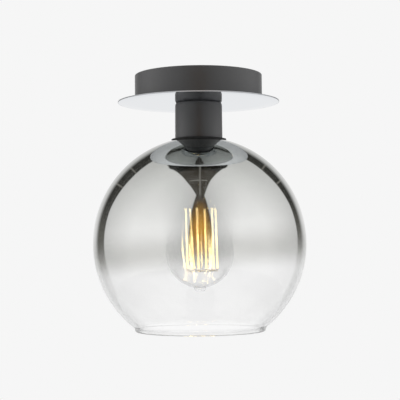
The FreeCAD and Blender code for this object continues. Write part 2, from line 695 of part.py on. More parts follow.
def holder_cap():
    """The domed upper half of the lampholder, with a threaded collar for the nipple."""
    end = CAVITY_END + HOLDER_CAP_LAP_HEIGHT
    shoulder_end = HOLDER_TOP + HOLDER_CAP_SHOULDER
    inner_top = HOLDER_TOP + HOLDER_CAP_WALL
    inner_shoulder = HOLDER_CAVITY_RADIUS - HOLDER_CAP_SHOULDER / 2
    bore = NIPPLE_RADIUS + HOLE_GAP
    return (
        Outline(bore, HOLDER_TOP)
        .to(HOLDER_CAP_RADIUS - HOLDER_CAP_SHOULDER, HOLDER_TOP)
        .curve((HOLDER_CAP_RADIUS, HOLDER_TOP), (HOLDER_CAP_RADIUS, shoulder_end))
        .to(HOLDER_CAP_RADIUS, end)
        .to(SKIRT_RADIUS + HOLE_GAP, end)
        .to(SKIRT_RADIUS + HOLE_GAP, CAVITY_END)
        .to(HOLDER_CAVITY_RADIUS, CAVITY_END)
        .to(HOLDER_CAVITY_RADIUS, shoulder_end)
        .curve((HOLDER_CAVITY_RADIUS, inner_top), (inner_shoulder, inner_top))
        .to(HOLDER_COLLAR_RADIUS, inner_top)
        .to(HOLDER_COLLAR_RADIUS, HOLDER_COLLAR_END)
        .to(bore, HOLDER_COLLAR_END)
        .lathe()
    )


def shell_rivet_places():
    """Where the rivets of the screw shell stand in Y."""
    return (-SHELL_RIVET_PLACE, SHELL_RIVET_PLACE)


def holder_insert():
    """The ceramic body that carries the terminals above and the contacts below."""
    insert = (
        Outline(0, INSERT_TOP)
        .to(INSERT_BOSS_RADIUS, INSERT_TOP)
        .to(INSERT_BOSS_RADIUS, CAVITY_END)
        .to(INSERT_FLANGE_RADIUS, CAVITY_END)
        .to(INSERT_FLANGE_RADIUS, FLANGE_END)
        .to(INSERT_BODY_RADIUS, FLANGE_END)
        .to(INSERT_BODY_RADIUS, INSERT_BOTTOM)
        .to(0, INSERT_BOTTOM)
        .lathe()
    )
    blind = INSERT_BOTTOM - RIVET_DEPTH
    for place in shell_rivet_places():
        insert = insert.cut(cylinder(RIVET_RADIUS + HOLE_GAP / 2, blind, INSERT_BOTTOM, 0, place))
    contact_hole = cylinder(CONTACT_RIVET_RADIUS + HOLE_GAP / 2, blind, INSERT_BOTTOM, CONTACT_RIVET_PLACE)
    return insert.cut(contact_hole)


def holder_skirt():
    """The lower half of the lampholder: a tube with an outside thread for the shade ring."""
    skirt = (
        Outline(INSERT_FLANGE_RADIUS + SEAT_GAP, CAVITY_END)
        .to(SKIRT_RADIUS, CAVITY_END)
        .to(SKIRT_RADIUS, SKIRT_END)
        .to(SKIRT_BORE_RADIUS, SKIRT_END)
        .to(SKIRT_BORE_RADIUS, FLANGE_END)
        .to(INSERT_FLANGE_RADIUS + SEAT_GAP, FLANGE_END)
        .lathe()
    )
    top = CUP_RIM + SKIRT_THREAD_START
    bottom = SKIRT_END - SKIRT_THREAD_BASE
    turns = math.floor((bottom - top) / SKIRT_THREAD_PITCH)
    ridge = helical_ridge(
        SKIRT_RADIUS, SKIRT_THREAD_RADIUS, SKIRT_THREAD_BASE, SKIRT_THREAD_PITCH, bottom, turns
    )
    return skirt.fuse(ridge)


def shade_ring():
    """The threaded ring that lifts the glass against the gasket, with finger notches."""
    bore = RING_BORE_RADIUS
    flange_end = RING_TOP + RING_FLANGE_HEIGHT
    ring = (
        Outline(bore, RING_TOP)
        .to(RING_FLANGE_RADIUS, RING_TOP)
        .to(RING_FLANGE_RADIUS, flange_end)
        .to(RING_BODY_RADIUS, flange_end)
        .to(RING_BODY_RADIUS, RING_BOTTOM)
        .to(bore, RING_BOTTOM)
        .lathe()
    )
    reference = SKIRT_END - SKIRT_THREAD_BASE
    start = in_step(RING_BOTTOM + SKIRT_THREAD_PITCH / 2, reference, SKIRT_THREAD_PITCH)
    turns = math.ceil((start - RING_TOP) / SKIRT_THREAD_PITCH) + 1
    groove_crest = SKIRT_THREAD_RADIUS + THREAD_GAP
    groove_base = SKIRT_THREAD_BASE + 2 * THREAD_GAP
    groove = helical_ridge(bore, groove_crest, groove_base, SKIRT_THREAD_PITCH, start, turns)
    ring = ring.cut(groove)
    for notch in range(RING_NOTCHES):
        centre = polar(RING_BODY_RADIUS + RING_NOTCH_RADIUS / 2, notch * FULL_TURN / RING_NOTCHES, 0)
        ring = ring.cut(cylinder(RING_NOTCH_RADIUS, flange_end, RING_BOTTOM, centre.x, centre.y))
    return ring


def holder_terminals():
    """Two brass blocks on the insert, each bored for its wire and tapped for its screw."""
    blocks = []
    for side in (-1, 1):
        x = side * TERMINAL_PLACE
        y = side * WIRE_PAIR_OFFSET
        x_range = (x - TERMINAL_WIDTH / 2, x + TERMINAL_WIDTH / 2)
        y_range = (y - TERMINAL_DEPTH / 2, y + TERMINAL_DEPTH / 2)
        block = box(x_range, y_range, TERMINAL_TOP, INSERT_TOP)
        block = block.cut(rod_along_x(TERMINAL_BORE_RADIUS, x_range[0], x_range[1], y, TERMINAL_BORE))
        tapped = cylinder(TERMINAL_SCREW_RADIUS + HOLE_GAP / 2, TERMINAL_TOP, TERMINAL_BORE, x, y)
        blocks.append(block.cut(tapped))
    return Part.makeCompound(blocks)


def holder_terminal_screws():
    """The screws that clamp the two wires."""
    tip = TERMINAL_BORE - WIRE_RADIUS - WIRE_TIP_GAP
    head_bottom = TERMINAL_TOP
    head_top = head_bottom - TERMINAL_SCREW_HEAD_HEIGHT
    screws = []
    for side in (-1, 1):
        x = side * TERMINAL_PLACE
        y = side * WIRE_PAIR_OFFSET
        screws.append(
            slotted_screw(TERMINAL_SCREW_RADIUS, TERMINAL_SCREW_HEAD_RADIUS, head_top, head_bottom, tip, x, y)
        )
    return Part.makeCompound(screws)


def lamp_thread_reference():
    """The drop at which the lamp's thread starts its lowest turn."""
    return BULB_TOP + BULB_CAP_THREAD_START + BULB_CAP_THREAD_TURNS * LAMP_THREAD_PITCH


def screw_shell():
    """The threaded brass shell that takes the lamp, closed above by a plate with a hole."""
    bore = LAMP_THREAD_ROOT + THREAD_GAP
    groove_crest = LAMP_THREAD_CREST + THREAD_GAP
    outer = SHELL_RADIUS
    plate_end = INSERT_BOTTOM + SHELL_PLATE
    shell = (
        Outline(SHELL_PLATE_HOLE_RADIUS, INSERT_BOTTOM)
        .to(outer, INSERT_BOTTOM)
        .to(outer, SHELL_END)
        .to(bore, SHELL_END)
        .to(bore, plate_end)
        .to(SHELL_PLATE_HOLE_RADIUS, plate_end)
        .lathe()
    )
    start = in_step(SHELL_END + LAMP_THREAD_PITCH / 2, lamp_thread_reference(), LAMP_THREAD_PITCH)
    thread_top = plate_end + LAMP_THREAD_PITCH
    turns = math.floor((start - thread_top) / LAMP_THREAD_PITCH)
    groove_base = LAMP_THREAD_BASE + 2 * THREAD_GAP
    groove = helical_ridge(bore, groove_crest, groove_base, LAMP_THREAD_PITCH, start, turns)
    shell = shell.cut(groove)
    for place in shell_rivet_places():
        shell = shell.cut(cylinder(RIVET_RADIUS + HOLE_GAP / 2, INSERT_BOTTOM, plate_end, 0, place))
    return shell


def rivet(radius, head_radius, seat, x, y):
    """A flat-headed rivet that stands up into the insert from a seat."""
    shank = cylinder(radius, INSERT_BOTTOM - RIVET_DEPTH, seat, x, y)
    return shank.fuse(cylinder(head_radius, seat, seat + RIVET_HEAD_HEIGHT, x, y))


def shell_rivets():
    """The two rivets that hold the screw shell on the insert."""
    seat = INSERT_BOTTOM + SHELL_PLATE
    rivets = [rivet(RIVET_RADIUS, RIVET_HEAD_RADIUS, seat, 0, y) for y in shell_rivet_places()]
    return Part.makeCompound(rivets)


def centre_contact():
    """A bent spring strip that presses on the lamp's contact."""
    near = INSERT_BOTTOM
    far = INSERT_BOTTOM + CONTACT_SPRING_HEIGHT
    thick = CONTACT_STRIP_THICKNESS
    bend = CONTACT_RIVET_PLACE + CONTACT_STRIP_REACH / 2
    half = CONTACT_STRIP_WIDTH / 2
    top_line = [(-CONTACT_STRIP_REACH, near), (bend, near), (0, far), (CONTACT_STRIP_REACH * 0.4, far)]
    bottom_line = [(x, drop + thick) for x, drop in reversed(top_line)]
    corners = [V(x, -half, -drop) for x, drop in top_line + bottom_line]
    strip = Part.Face(Part.makePolygon(corners + corners[:1])).extrude(V(0, CONTACT_STRIP_WIDTH, 0))
    return strip.cut(cylinder(CONTACT_RIVET_RADIUS + HOLE_GAP / 2, near, near + thick, CONTACT_RIVET_PLACE))


def contact_rivet():
    """The small rivet that holds the spring strip."""
    seat = INSERT_BOTTOM + CONTACT_STRIP_THICKNESS
    return rivet(CONTACT_RIVET_RADIUS, CONTACT_RIVET_RADIUS * 1.4, seat, CONTACT_RIVET_PLACE, 0)


def shade_gasket():
    """A soft ring, flat above and shaped to the sphere below."""
    middle = (GASKET_INNER_RADIUS + GASKET_OUTER_RADIUS) / 2
    return (
        Outline(GASKET_INNER_RADIUS, GASKET_TOP)
        .to(GASKET_OUTER_RADIUS, GASKET_TOP)
        .to(GASKET_OUTER_RADIUS, upper_drop(GLOBE_RADIUS, GASKET_OUTER_RADIUS))
        .arc(
            (middle, upper_drop(GLOBE_RADIUS, middle)),
            (GASKET_INNER_RADIUS, upper_drop(GLOBE_RADIUS, GASKET_INNER_RADIUS)),
        )
        .lathe()
    )


def glass_shade():
    """A sphere of glass with a hole above for the lampholder and a wide mouth with a short lip below."""
    hole = GLOBE_HOLE_RADIUS
    hole_outside = upper_drop(GLOBE_RADIUS, hole)
    hole_inside = upper_drop(GLASS_INNER_RADIUS, hole)
    lip_inner = GLOBE_RIM_RADIUS - GLASS_WALL
    lip_round = GLASS_WALL / 2
    lip_end = GLOBE_BOTTOM - lip_round
    inner_rim = GLOBE_CENTRE + math.sqrt(GLASS_INNER_RADIUS**2 - lip_inner**2)
    return (
        Outline(hole, hole_outside)
        .arc((GLOBE_RADIUS, GLOBE_CENTRE), (GLOBE_RIM_RADIUS, GLOBE_RIM))
        .to(GLOBE_RIM_RADIUS, lip_end)
        .arc((GLOBE_RIM_RADIUS - lip_round, GLOBE_BOTTOM), (lip_inner, lip_end))
        .to(lip_inner, inner_rim)
        .arc((GLASS_INNER_RADIUS, GLOBE_CENTRE), (hole, hole_inside))
        .arc((hole - GLOBE_HOLE_POLISH, (hole_inside + hole_outside) / 2), (hole, hole_outside))
        .lathe()
    )


def ring_washer():
    """A soft washer between the glass and the ring, shaped to the glass above."""
    inner = RING_WASHER_INNER_RADIUS
    outer = RING_FLANGE_RADIUS
    middle = (inner + outer) / 2
    return (
        Outline(inner, RING_WASHER_BOTTOM)
        .to(outer, RING_WASHER_BOTTOM)
        .to(outer, upper_drop(GLASS_INNER_RADIUS, outer))
        .arc((middle, upper_drop(GLASS_INNER_RADIUS, middle)), (inner, upper_drop(GLASS_INNER_RADIUS, inner)))
        .lathe()
    )


def bulb_contact():
    """The button at the top of the lamp, with a stem into the cap."""
    low = BULB_TOP + BULB_CONTACT_HEIGHT
    return (
        Outline(0, BULB_TOP)
        .to(BULB_CONTACT_RADIUS / 2, BULB_TOP)
        .curve((BULB_CONTACT_RADIUS, BULB_TOP), (BULB_CONTACT_RADIUS, low))
        .to(BULB_CONTACT_STEM_RADIUS, low)
        .to(BULB_CONTACT_STEM_RADIUS, low + BULB_CONTACT_STEM_LENGTH)
        .to(0, low + BULB_CONTACT_STEM_LENGTH)
        .lathe()
    )


def bulb_insulator():
    """The dark glass cone between the button and the threaded cap."""
    top = BULB_TOP + BULB_CONTACT_HEIGHT + SEAT_GAP / 4
    cone_end = top + INSULATOR_CONE
    outer = BULB_PLUG_RADIUS
    hole = BULB_CONTACT_STEM_RADIUS + HOLE_GAP / 2
    return (
        Outline(hole, top)
        .to(BULB_CONTACT_RADIUS, top)
        .to(outer, cone_end)
        .to(outer, cone_end + INSULATOR_SKIRT)
        .to(hole, cone_end + INSULATOR_SKIRT)
        .lathe()
    )


def bulb_cap():
    """The threaded metal cap of the lamp, turned in over its insulator."""
    inner = LAMP_THREAD_ROOT - BULB_CAP_WALL
    top = BULB_TOP + BULB_CONTACT_HEIGHT + INSULATOR_CONE + SEAT_GAP
    shell = tube(LAMP_THREAD_ROOT, inner, top, BULB_CAP_END)
    ridge = helical_ridge(
        LAMP_THREAD_ROOT,
        LAMP_THREAD_CREST,
        LAMP_THREAD_BASE,
        LAMP_THREAD_PITCH,
        lamp_thread_reference(),
        BULB_CAP_THREAD_TURNS,
    )
    return shell.fuse(ridge)


def driver_board():
    """A round circuit board inside the cap, drilled for the two lead wires."""
    board = cylinder(BOARD_RADIUS, BOARD_TOP, BOARD_TOP + BOARD_THICKNESS)
    for side in (-1, 1):
        hole = cylinder(
            LEAD_RADIUS + HOLE_GAP / 2, BOARD_TOP, BOARD_TOP + BOARD_THICKNESS, side * LEAD_OFFSET
        )
        board = board.cut(hole)
    return board


def driver_parts():
    """A capacitor above the board and a chip below it."""
    capacitor = cylinder(CAPACITOR_RADIUS, BOARD_TOP - CAPACITOR_HEIGHT, BOARD_TOP, 0, CAPACITOR_PLACE)
    half = CHIP_SIDE / 2
    below = BOARD_TOP + BOARD_THICKNESS
    chip = box((-half, half), (-CAPACITOR_PLACE - half, -CAPACITOR_PLACE + half), below, below + CHIP_HEIGHT)
    return Part.makeCompound([capacitor, chip])


def bulb_glass():
    """The lamp's clear envelope: plugged into the cap, then a long flare to a round end with a tip."""
    wall = BULB_GLASS_WALL
    plug = BULB_PLUG_RADIUS
    plug_top = BULB_CAP_END - NECK_PLUG_LENGTH
    flare_end = BULB_CAP_END + NECK_FLARE
    belly = BULB_RADIUS
    widest = BULB_WIDEST_DROP
    tip = BULB_DOME + BULB_TIP_HEIGHT
    tip_base = widest + math.sqrt(belly**2 - BULB_TIP_RADIUS**2)
    slant = math.sqrt(0.5)
    inner_belly = belly - wall
    return (
        Outline(plug, plug_top)
        .to(plug, BULB_CAP_END)
        .curve((NECK_RADIUS, BULB_CAP_END), (NECK_RADIUS, flare_end))
        .to(NECK_RADIUS, NECK_END)
        .curve((NECK_RADIUS, NECK_END + BULB_NECK_CURVE), (belly, widest - BULB_BELLY_CURVE), (belly, widest))
        .arc((belly * slant, widest + belly * slant), (BULB_TIP_RADIUS, tip_base))
        .curve((BULB_TIP_RADIUS, tip), (0, tip))
        .to(0, widest + inner_belly)
        .arc((inner_belly * slant, widest + inner_belly * slant), (inner_belly, widest))
        .curve(
            (inner_belly, widest - BULB_BELLY_CURVE),
            (NECK_RADIUS - wall, NECK_END + BULB_NECK_CURVE),
            (NECK_RADIUS - wall, NECK_END),
        )
        .to(NECK_RADIUS - wall, flare_end)
        .curve((NECK_RADIUS - wall, BULB_CAP_END), (plug - wall, BULB_CAP_END))
        .to(plug - wall, plug_top)
        .lathe()
    )


def filament_angles():
    """The directions of the filaments round the lamp's axis."""
    step = FULL_TURN / FILAMENT_COUNT
    return [(index + FILAMENT_TURN_SHARE) * step for index in range(FILAMENT_COUNT)]


def lead(side):
    """One lead wire: down through the stem, then a branch to each filament on its side."""
    fork = V(side * LEAD_OFFSET, 0, -LEAD_FORK)
    pin_top = FILAMENT_START - BRANCH_PIN
    wire = cylinder(LEAD_RADIUS, BOARD_TOP, LEAD_FORK, side * LEAD_OFFSET)
    wire = wire.fuse(Part.makeSphere(LEAD_RADIUS + WELD_BEAD, fork))
    for angle in filament_angles():
        if math.cos(math.radians(angle)) * side > 0:
            elbow = polar(FILAMENT_RING_RADIUS, angle, pin_top)
            wire = wire.fuse(straight_wire(fork, elbow, BRANCH_RADIUS))
            wire = wire.fuse(Part.makeSphere(BRANCH_RADIUS + WELD_BEAD, elbow))
            wire = wire.fuse(cylinder(BRANCH_RADIUS, pin_top, FILAMENT_START, elbow.x, elbow.y))
    return wire


def lead_wires():
    """The two lead wires of the lamp."""
    return Part.makeCompound([lead(side) for side in (-1, 1)])


def bulb_stem():
    """The glass stem: a flare inside the neck, a press round the lead wires and a long thin rod."""
    flare_end = STEM_TOP + STEM_FLARE_LENGTH
    press_end = flare_end + STEM_PRESS_LENGTH
    button_top = FILAMENT_END
    button_end = button_top + STEM_BUTTON_HEIGHT
    stem = (
        Outline(STEM_FLARE_RADIUS, STEM_TOP)
        .curve((STEM_PRESS_RADIUS, STEM_TOP), (STEM_PRESS_RADIUS, flare_end))
        .to(STEM_PRESS_RADIUS, press_end - STEM_WALL)
        .to(STEM_ROD_RADIUS, press_end)
        .to(STEM_ROD_RADIUS, button_top)
        .to(STEM_BUTTON_RADIUS, button_top + STEM_BUTTON_HEIGHT / 4)
        .to(STEM_BUTTON_RADIUS, button_end - STEM_BUTTON_HEIGHT / 4)
        .to(0, button_end)
        .to(0, flare_end)
        .to(STEM_PRESS_RADIUS - STEM_WALL, flare_end)
        .curve((STEM_PRESS_RADIUS - STEM_WALL, STEM_TOP), (STEM_FLARE_RADIUS - STEM_WALL, STEM_TOP))
        .lathe()
    )
    for side in (-1, 1):
        stem = stem.cut(cylinder(LEAD_RADIUS + HOLE_GAP / 2, STEM_TOP, press_end, side * LEAD_OFFSET))
    return stem


def filaments():
    """The upright filaments, on a ring round the stem."""
    rods = []
    for angle in filament_angles():
        foot = polar(FILAMENT_RING_RADIUS, angle, 0)
        rods.append(cylinder(FILAMENT_RADIUS, FILAMENT_START, FILAMENT_END, foot.x, foot.y))
    return Part.makeCompound(rods)


def filament_support():
    """The wavy wire ring under the feet of the filaments, with spokes to the stem's button."""
    level = FILAMENT_END + BRANCH_PIN
    angles = filament_angles()
    half_step = FULL_TURN / FILAMENT_COUNT / 2
    dip_radius = FILAMENT_RING_RADIUS * math.cos(math.radians(half_step))
    bead = BRANCH_RADIUS + WELD_BEAD
    feet = [polar(FILAMENT_RING_RADIUS, angle, level) for angle in angles]
    dips = [polar(dip_radius, angle + half_step, level + SUPPORT_WAVE) for angle in angles]
    pieces = []
    for index, foot in enumerate(feet):
        dip = dips[index]
        pieces.append(cylinder(BRANCH_RADIUS, FILAMENT_END, level, foot.x, foot.y))
        pieces.append(straight_wire(foot, dip, BRANCH_RADIUS))
        pieces.append(straight_wire(dip, feet[(index + 1) % FILAMENT_COUNT], BRANCH_RADIUS))
        pieces.append(Part.makeSphere(bead, foot))
        pieces.append(Part.makeSphere(bead, dip))
    reach = STEM_BUTTON_RADIUS + HOLE_GAP / 2
    for spoke in range(SUPPORT_SPOKES):
        index = spoke * FILAMENT_COUNT // SUPPORT_SPOKES
        pieces.append(straight_wire(polar(reach, angles[index], level), feet[index], BRANCH_RADIUS))
    return pieces[0].multiFuse(pieces[1:])


def build():
    """Makes every piece of the light, by the name of its node."""
    neutral_pole, live_pole = block_poles()[1:]
    earth_pole = block_poles()[0]
    return {
        "ceiling_bracket": ceiling_bracket(),
        "canopy": canopy(),
        "canopy_screws": canopy_screws(),
        "terminal_block": terminal_block(),
        "terminal_barrels": terminal_barrels(),
        "terminal_screws": terminal_screws(),
        "block_screw": block_screw(),
        "live_wire": lamp_wire(live_pole, 1),
        "neutral_wire": lamp_wire(neutral_pole, -1),
        "earth_wire": earth_wire(earth_pole),
        "earth_tag": earth_tag(),
        "nipple": nipple(),
        "nipple_washer": nipple_washer(),
        "canopy_nut": hex_nut(CANOPY_NUT_TOP),
        "cover_nut": hex_nut(CUP_INSIDE_TOP),
        "mirror_disc": mirror_disc(),
        "lampholder_cover": lampholder_cover(),
        "holder_cap": holder_cap(),
        "holder_insert": holder_insert(),
        "holder_skirt": holder_skirt(),
        "holder_terminals": holder_terminals(),
        "holder_terminal_screws": holder_terminal_screws(),
        "screw_shell": screw_shell(),
        "shell_rivets": shell_rivets(),
        "centre_contact": centre_contact(),
        "contact_rivet": contact_rivet(),
        "shade_gasket": shade_gasket(),
        "glass_shade": glass_shade(),
        "ring_washer": ring_washer(),
        "shade_ring": shade_ring(),
        "bulb_contact": bulb_contact(),
        "bulb_insulator": bulb_insulator(),
        "bulb_cap": bulb_cap(),
        "driver_board": driver_board(),
        "driver_parts": driver_parts(),
        "bulb_glass": bulb_glass(),
        "bulb_stem": bulb_stem(),
        "lead_wires": lead_wires(),
        "filaments": filaments(),
        "filament_support": filament_support(),
    }


def main():
    """Writes one STEP file for each node."""
    os.makedirs("parts", exist_ok=True)
    for node, shape in build().items():
        shape.exportStep(f"parts/{node}.step")
        size = shape.BoundBox
        print(f"{node:24s} solids {len(shape.Solids)} valid {shape.isValid()} volume {shape.Volume:10.1f}")
        print(f"{'':24s} z {size.ZMin:8.2f} {size.ZMax:8.2f} x {size.XMin:7.2f} {size.XMax:7.2f}")


main()
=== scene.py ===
"""Dresses a semi flush ceiling light: charcoal canopy and cup, polished disc, mirrored globe and filament lamp.

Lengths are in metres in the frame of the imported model: +Z is up and the ceiling lies at z = 0.
"""
import logging
from dataclasses import dataclass, field
from enum import Enum
from functools import cache, reduce
from math import acos, atan, cos, degrees, pi, radians, sin, sqrt

import bpy
import numpy as np
from mathutils import Euler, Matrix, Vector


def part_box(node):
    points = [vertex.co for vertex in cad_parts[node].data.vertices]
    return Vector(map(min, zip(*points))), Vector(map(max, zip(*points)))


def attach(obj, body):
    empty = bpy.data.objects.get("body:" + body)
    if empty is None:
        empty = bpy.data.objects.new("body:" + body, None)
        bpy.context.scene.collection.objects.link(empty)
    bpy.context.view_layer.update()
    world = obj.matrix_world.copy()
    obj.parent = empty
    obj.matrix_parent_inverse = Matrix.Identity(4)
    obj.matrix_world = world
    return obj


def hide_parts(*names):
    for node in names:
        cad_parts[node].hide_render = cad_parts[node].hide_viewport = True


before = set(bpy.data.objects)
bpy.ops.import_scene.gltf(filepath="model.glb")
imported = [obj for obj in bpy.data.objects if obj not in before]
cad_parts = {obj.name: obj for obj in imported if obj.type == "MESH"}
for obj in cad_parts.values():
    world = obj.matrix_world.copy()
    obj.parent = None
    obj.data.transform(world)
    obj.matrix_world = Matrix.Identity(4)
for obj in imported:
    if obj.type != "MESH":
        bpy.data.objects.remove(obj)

LOG = logging.getLogger("ceiling_light")

Colour = tuple[float, float, float]
Point = tuple[float, float] | np.ndarray
Span = tuple[float, float]
Piece = bpy.types.Object
Socket = bpy.types.NodeSocket
Value = Socket | Colour | float

TURN = 2.0 * pi
# Points closer than this are one point.
TINY = 1e-7
# A wire whose direction has more height than this counts as upright.
STEEP = 0.9
# Where the rings of a wire's round end lie, in radii from where the wire ends.
WIRE_END_REACHES = (0.98, 0.85, 0.55, 0.0)
UNIT: Span = (0.0, 1.0)
# Where most of a noise lies.
NOISE_RANGE: Span = (0.3, 0.7)
# The Facing of a Layer Weight node where a glass wall starts to be seen edge on, and where it fully is.
EDGE_RANGE: Span = (0.45, 0.80)
GLASS_INDEX = 1.5


class Fineness(Enum):
    """How many steps a round surface gets in one turn."""

    SMALL = 48
    MEDIUM = 128
    LARGE = 256


class Surface(Enum):
    """What the outside of a moulded piece feels like."""

    SMOOTH = 0.35
    MATTE = 0.6
    RUBBERY = 0.85


# --- Stretches of points: (radius, height) in an outline, (x, y, z) along a wire ---------------------------------


def line(start: Point, end: Point, steps: int) -> np.ndarray:
    """A straight stretch: start + t * (end - start) for t from 0 to 1.

    Args:
        start: first point.
        end: last point.
        steps: number of points.

    Returns:
        An array of points, one row each.
    """
    t = np.linspace(0.0, 1.0, steps)[:, None]
    return np.array(start) + t * (np.array(end) - np.array(start))


def arc(centre: Point, radius: float, start: float, end: float, steps: int) -> np.ndarray:
    """A round stretch: centre + radius * (cos a, sin a) for angles a from start to end.

    Args:
        centre: centre of the circle as radius and height.
        radius: radius of the circle.
        start: first angle in radians, from outwards towards up.
        end: last angle in radians.
        steps: number of points.

    Returns:
        An array of points, one row each.
    """
    a = np.linspace(start, end, steps)
    return np.array(centre) + radius * np.stack([np.cos(a), np.sin(a)], axis=1)


def bezier(poles: list[Point], steps: int) -> np.ndarray:
    """A Bezier stretch, by repeated blending of neighbouring poles with weights 1 - t and t.

    Args:
        poles: control points.
        steps: number of points.

    Returns:
        An array of points, one row each.
    """
    t = np.linspace(0.0, 1.0, steps)[:, None, None]
    level = np.repeat(np.array(poles)[None, :, :], steps, axis=0)
    while level.shape[1] > 1:
        level = (1.0 - t) * level[:, :-1, :] + t * level[:, 1:, :]
    return level[:, 0, :]


def outline(*stretches: np.ndarray) -> np.ndarray:
    """Joins stretches end to end and drops points that repeat.

    Args:
        stretches: arrays of points.

    Returns:
        One array of points.
    """
    points = np.concatenate(stretches)
    apart = np.linalg.norm(np.diff(points, axis=0), axis=1) > TINY
    return points[np.concatenate([[True], apart])]


def angle_at(radius: float, reach: float) -> float:
    """Angle above its centre's level at which a sphere of a radius has a reach from the axis."""
    return acos(reach / radius)


# --- Meshes ------------------------------------------------------------------------------------------------------


def make_piece(name: str, vertices: np.ndarray, faces: list[list[int]], sharp: float = 35.0) -> Piece:
    """Puts points and faces into a smooth mesh whose edges stay crisp past an angle.

    Args:
        name: name of the piece.
        vertices: array of points.
        faces: lists of point numbers.
        sharp: angle in degrees past which an edge is crisp.

    Returns:
        The new object, at the origin.
    """
    mesh = bpy.data.meshes.new(name)
    mesh.from_pydata(vertices.tolist(), [], faces)
    mesh.validate()
    mesh.shade_smooth()
    mesh.set_sharp_from_angle(angle=radians(sharp))
    piece = bpy.data.objects.new(name, mesh)
    bpy.context.scene.collection.objects.link(piece)
    return piece


def grid_faces(rows: int, columns: int, close_rows: bool, close_columns: bool, offset: int = 0) -> np.ndarray:
    """Quads between neighbouring rows and columns of a grid of points.

    Args:
        rows: number of rows.
        columns: number of columns.
        close_rows: whether the last row meets the first.
        close_columns: whether the last column meets the first.
        offset: number of the grid's first point.

    Returns:
        An array of quads, each of four point numbers.
    """
    r = np.arange(rows if close_rows else rows - 1)
    c = np.arange(columns if close_columns else columns - 1)
    i, j = np.meshgrid(r, c, indexing="ij")
    next_i = (i + 1) % rows
    next_j = (j + 1) % columns
    quads = np.stack([i * columns + j, i * columns + next_j, next_i * columns + next_j, next_i * columns + j], axis=-1)
    return quads.reshape(-1, 4) + offset


def lathe(name: str, points: np.ndarray, turns: Fineness) -> Piece:
    """Turns a closed outline about the Z axis: (r, z) goes to (r cos a, r sin a, z) for a full turn of a.

    The outline runs with its material on its left, seen with radius to the right and height up. Where it begins
    and ends on the axis, each end is one point; elsewhere its last point joins its first.

    Args:
        name: name of the piece.
        points: outline as radius and height.
        turns: steps in one turn.

    Returns:
        The new object.
    """
    columns = turns.value
    angles = np.linspace(0.0, TURN, columns, endpoint=False)
    poles = points[0, 0] < TINY and points[-1, 0] < TINY
    ring = points[1:-1] if poles else points
    rows = len(ring)
    x = ring[:, :1] * np.cos(angles)
    y = ring[:, :1] * np.sin(angles)
    z = np.repeat(ring[:, 1:], columns, axis=1)
    vertices = np.stack([x, y, z], axis=-1).reshape(-1, 3)
    faces = grid_faces(rows, columns, not poles, True).tolist()
    if poles:
        ends = np.array([[0.0, 0.0, points[0, 1]], [0.0, 0.0, points[-1, 1]]])
        vertices = np.concatenate([vertices, ends])
        here = np.arange(columns)
        beside = (here + 1) % columns
        first = np.stack([np.full(columns, rows * columns), beside, here], axis=1)
        base = (rows - 1) * columns
        last = np.stack([np.full(columns, rows * columns + 1), base + here, base + beside], axis=1)
        faces += first.tolist() + last.tolist()
    return make_piece(name, vertices, faces)


def tube_grid(path: np.ndarray, radii: np.ndarray, sides: int) -> np.ndarray:
    """Points of a round bar along a path: path(t) + radius(t) * (cos a * n(t) + sin a * b(t)).

    The normals n are carried along the path by taking out their part along each tangent, so they don't twist.

    Args:
        path: points along the middle.
        radii: radius at each of them.
        sides: points round the bar.

    Returns:
        An array of points by row and side.
    """
    tangents = np.gradient(path, axis=0)
    tangents /= np.linalg.norm(tangents, axis=1)[:, None]
    seed = np.array([0.0, 0.0, 1.0] if abs(tangents[0, 2]) < STEEP else [1.0, 0.0, 0.0])
    normals = seed - (tangents @ seed)[:, None] * tangents
    normals /= np.linalg.norm(normals, axis=1)[:, None]
    across = np.cross(tangents, normals)
    angles = np.linspace(0.0, TURN, sides, endpoint=False)
    ring = np.cos(angles)[None, :, None] * normals[:, None, :] + np.sin(angles)[None, :, None] * across[:, None, :]
    return path[:, None, :] + radii[:, None, None] * ring


def tubes(name: str, paths: list[np.ndarray], radius: float, sides: int) -> Piece:
    """Round wires with round ends along several paths, as one piece.

    Over each end the radius is radius * sqrt(1 - u * u), where u is how far out the end has come, in radii.

    Args:
        name: name of the piece.
        paths: points along the middle of each wire.
        radius: radius of the wires.
        sides: points round each wire.

    Returns:
        The new object.
    """
    reach = np.array(WIRE_END_REACHES)
    swell = np.sqrt(1.0 - reach**2)
    vertices = []
    faces = []
    count = 0
    for path in paths:
        start_way = (path[0] - path[1]) / np.linalg.norm(path[0] - path[1])
        end_way = (path[-1] - path[-2]) / np.linalg.norm(path[-1] - path[-2])
        head = path[0] + radius * reach[:, None] * start_way
        tail = path[-1] + radius * reach[::-1, None] * end_way
        middle = np.concatenate([head, path[1:-1], tail])
        radii = radius * np.concatenate([swell, np.ones(len(path) - 2), swell[::-1]])
        points = tube_grid(middle, radii, sides).reshape(-1, 3)
        rows = len(middle)
        vertices.append(points)
        faces += grid_faces(rows, sides, False, True, count).tolist()
        faces.append(list(range(count, count + sides))[::-1])
        faces.append(list(range(count + (rows - 1) * sides, count + rows * sides)))
        count += len(points)
    return make_piece(name, np.concatenate(vertices), faces, sharp=60.0)


# --- Materials ---------------------------------------------------------------------------------------------------


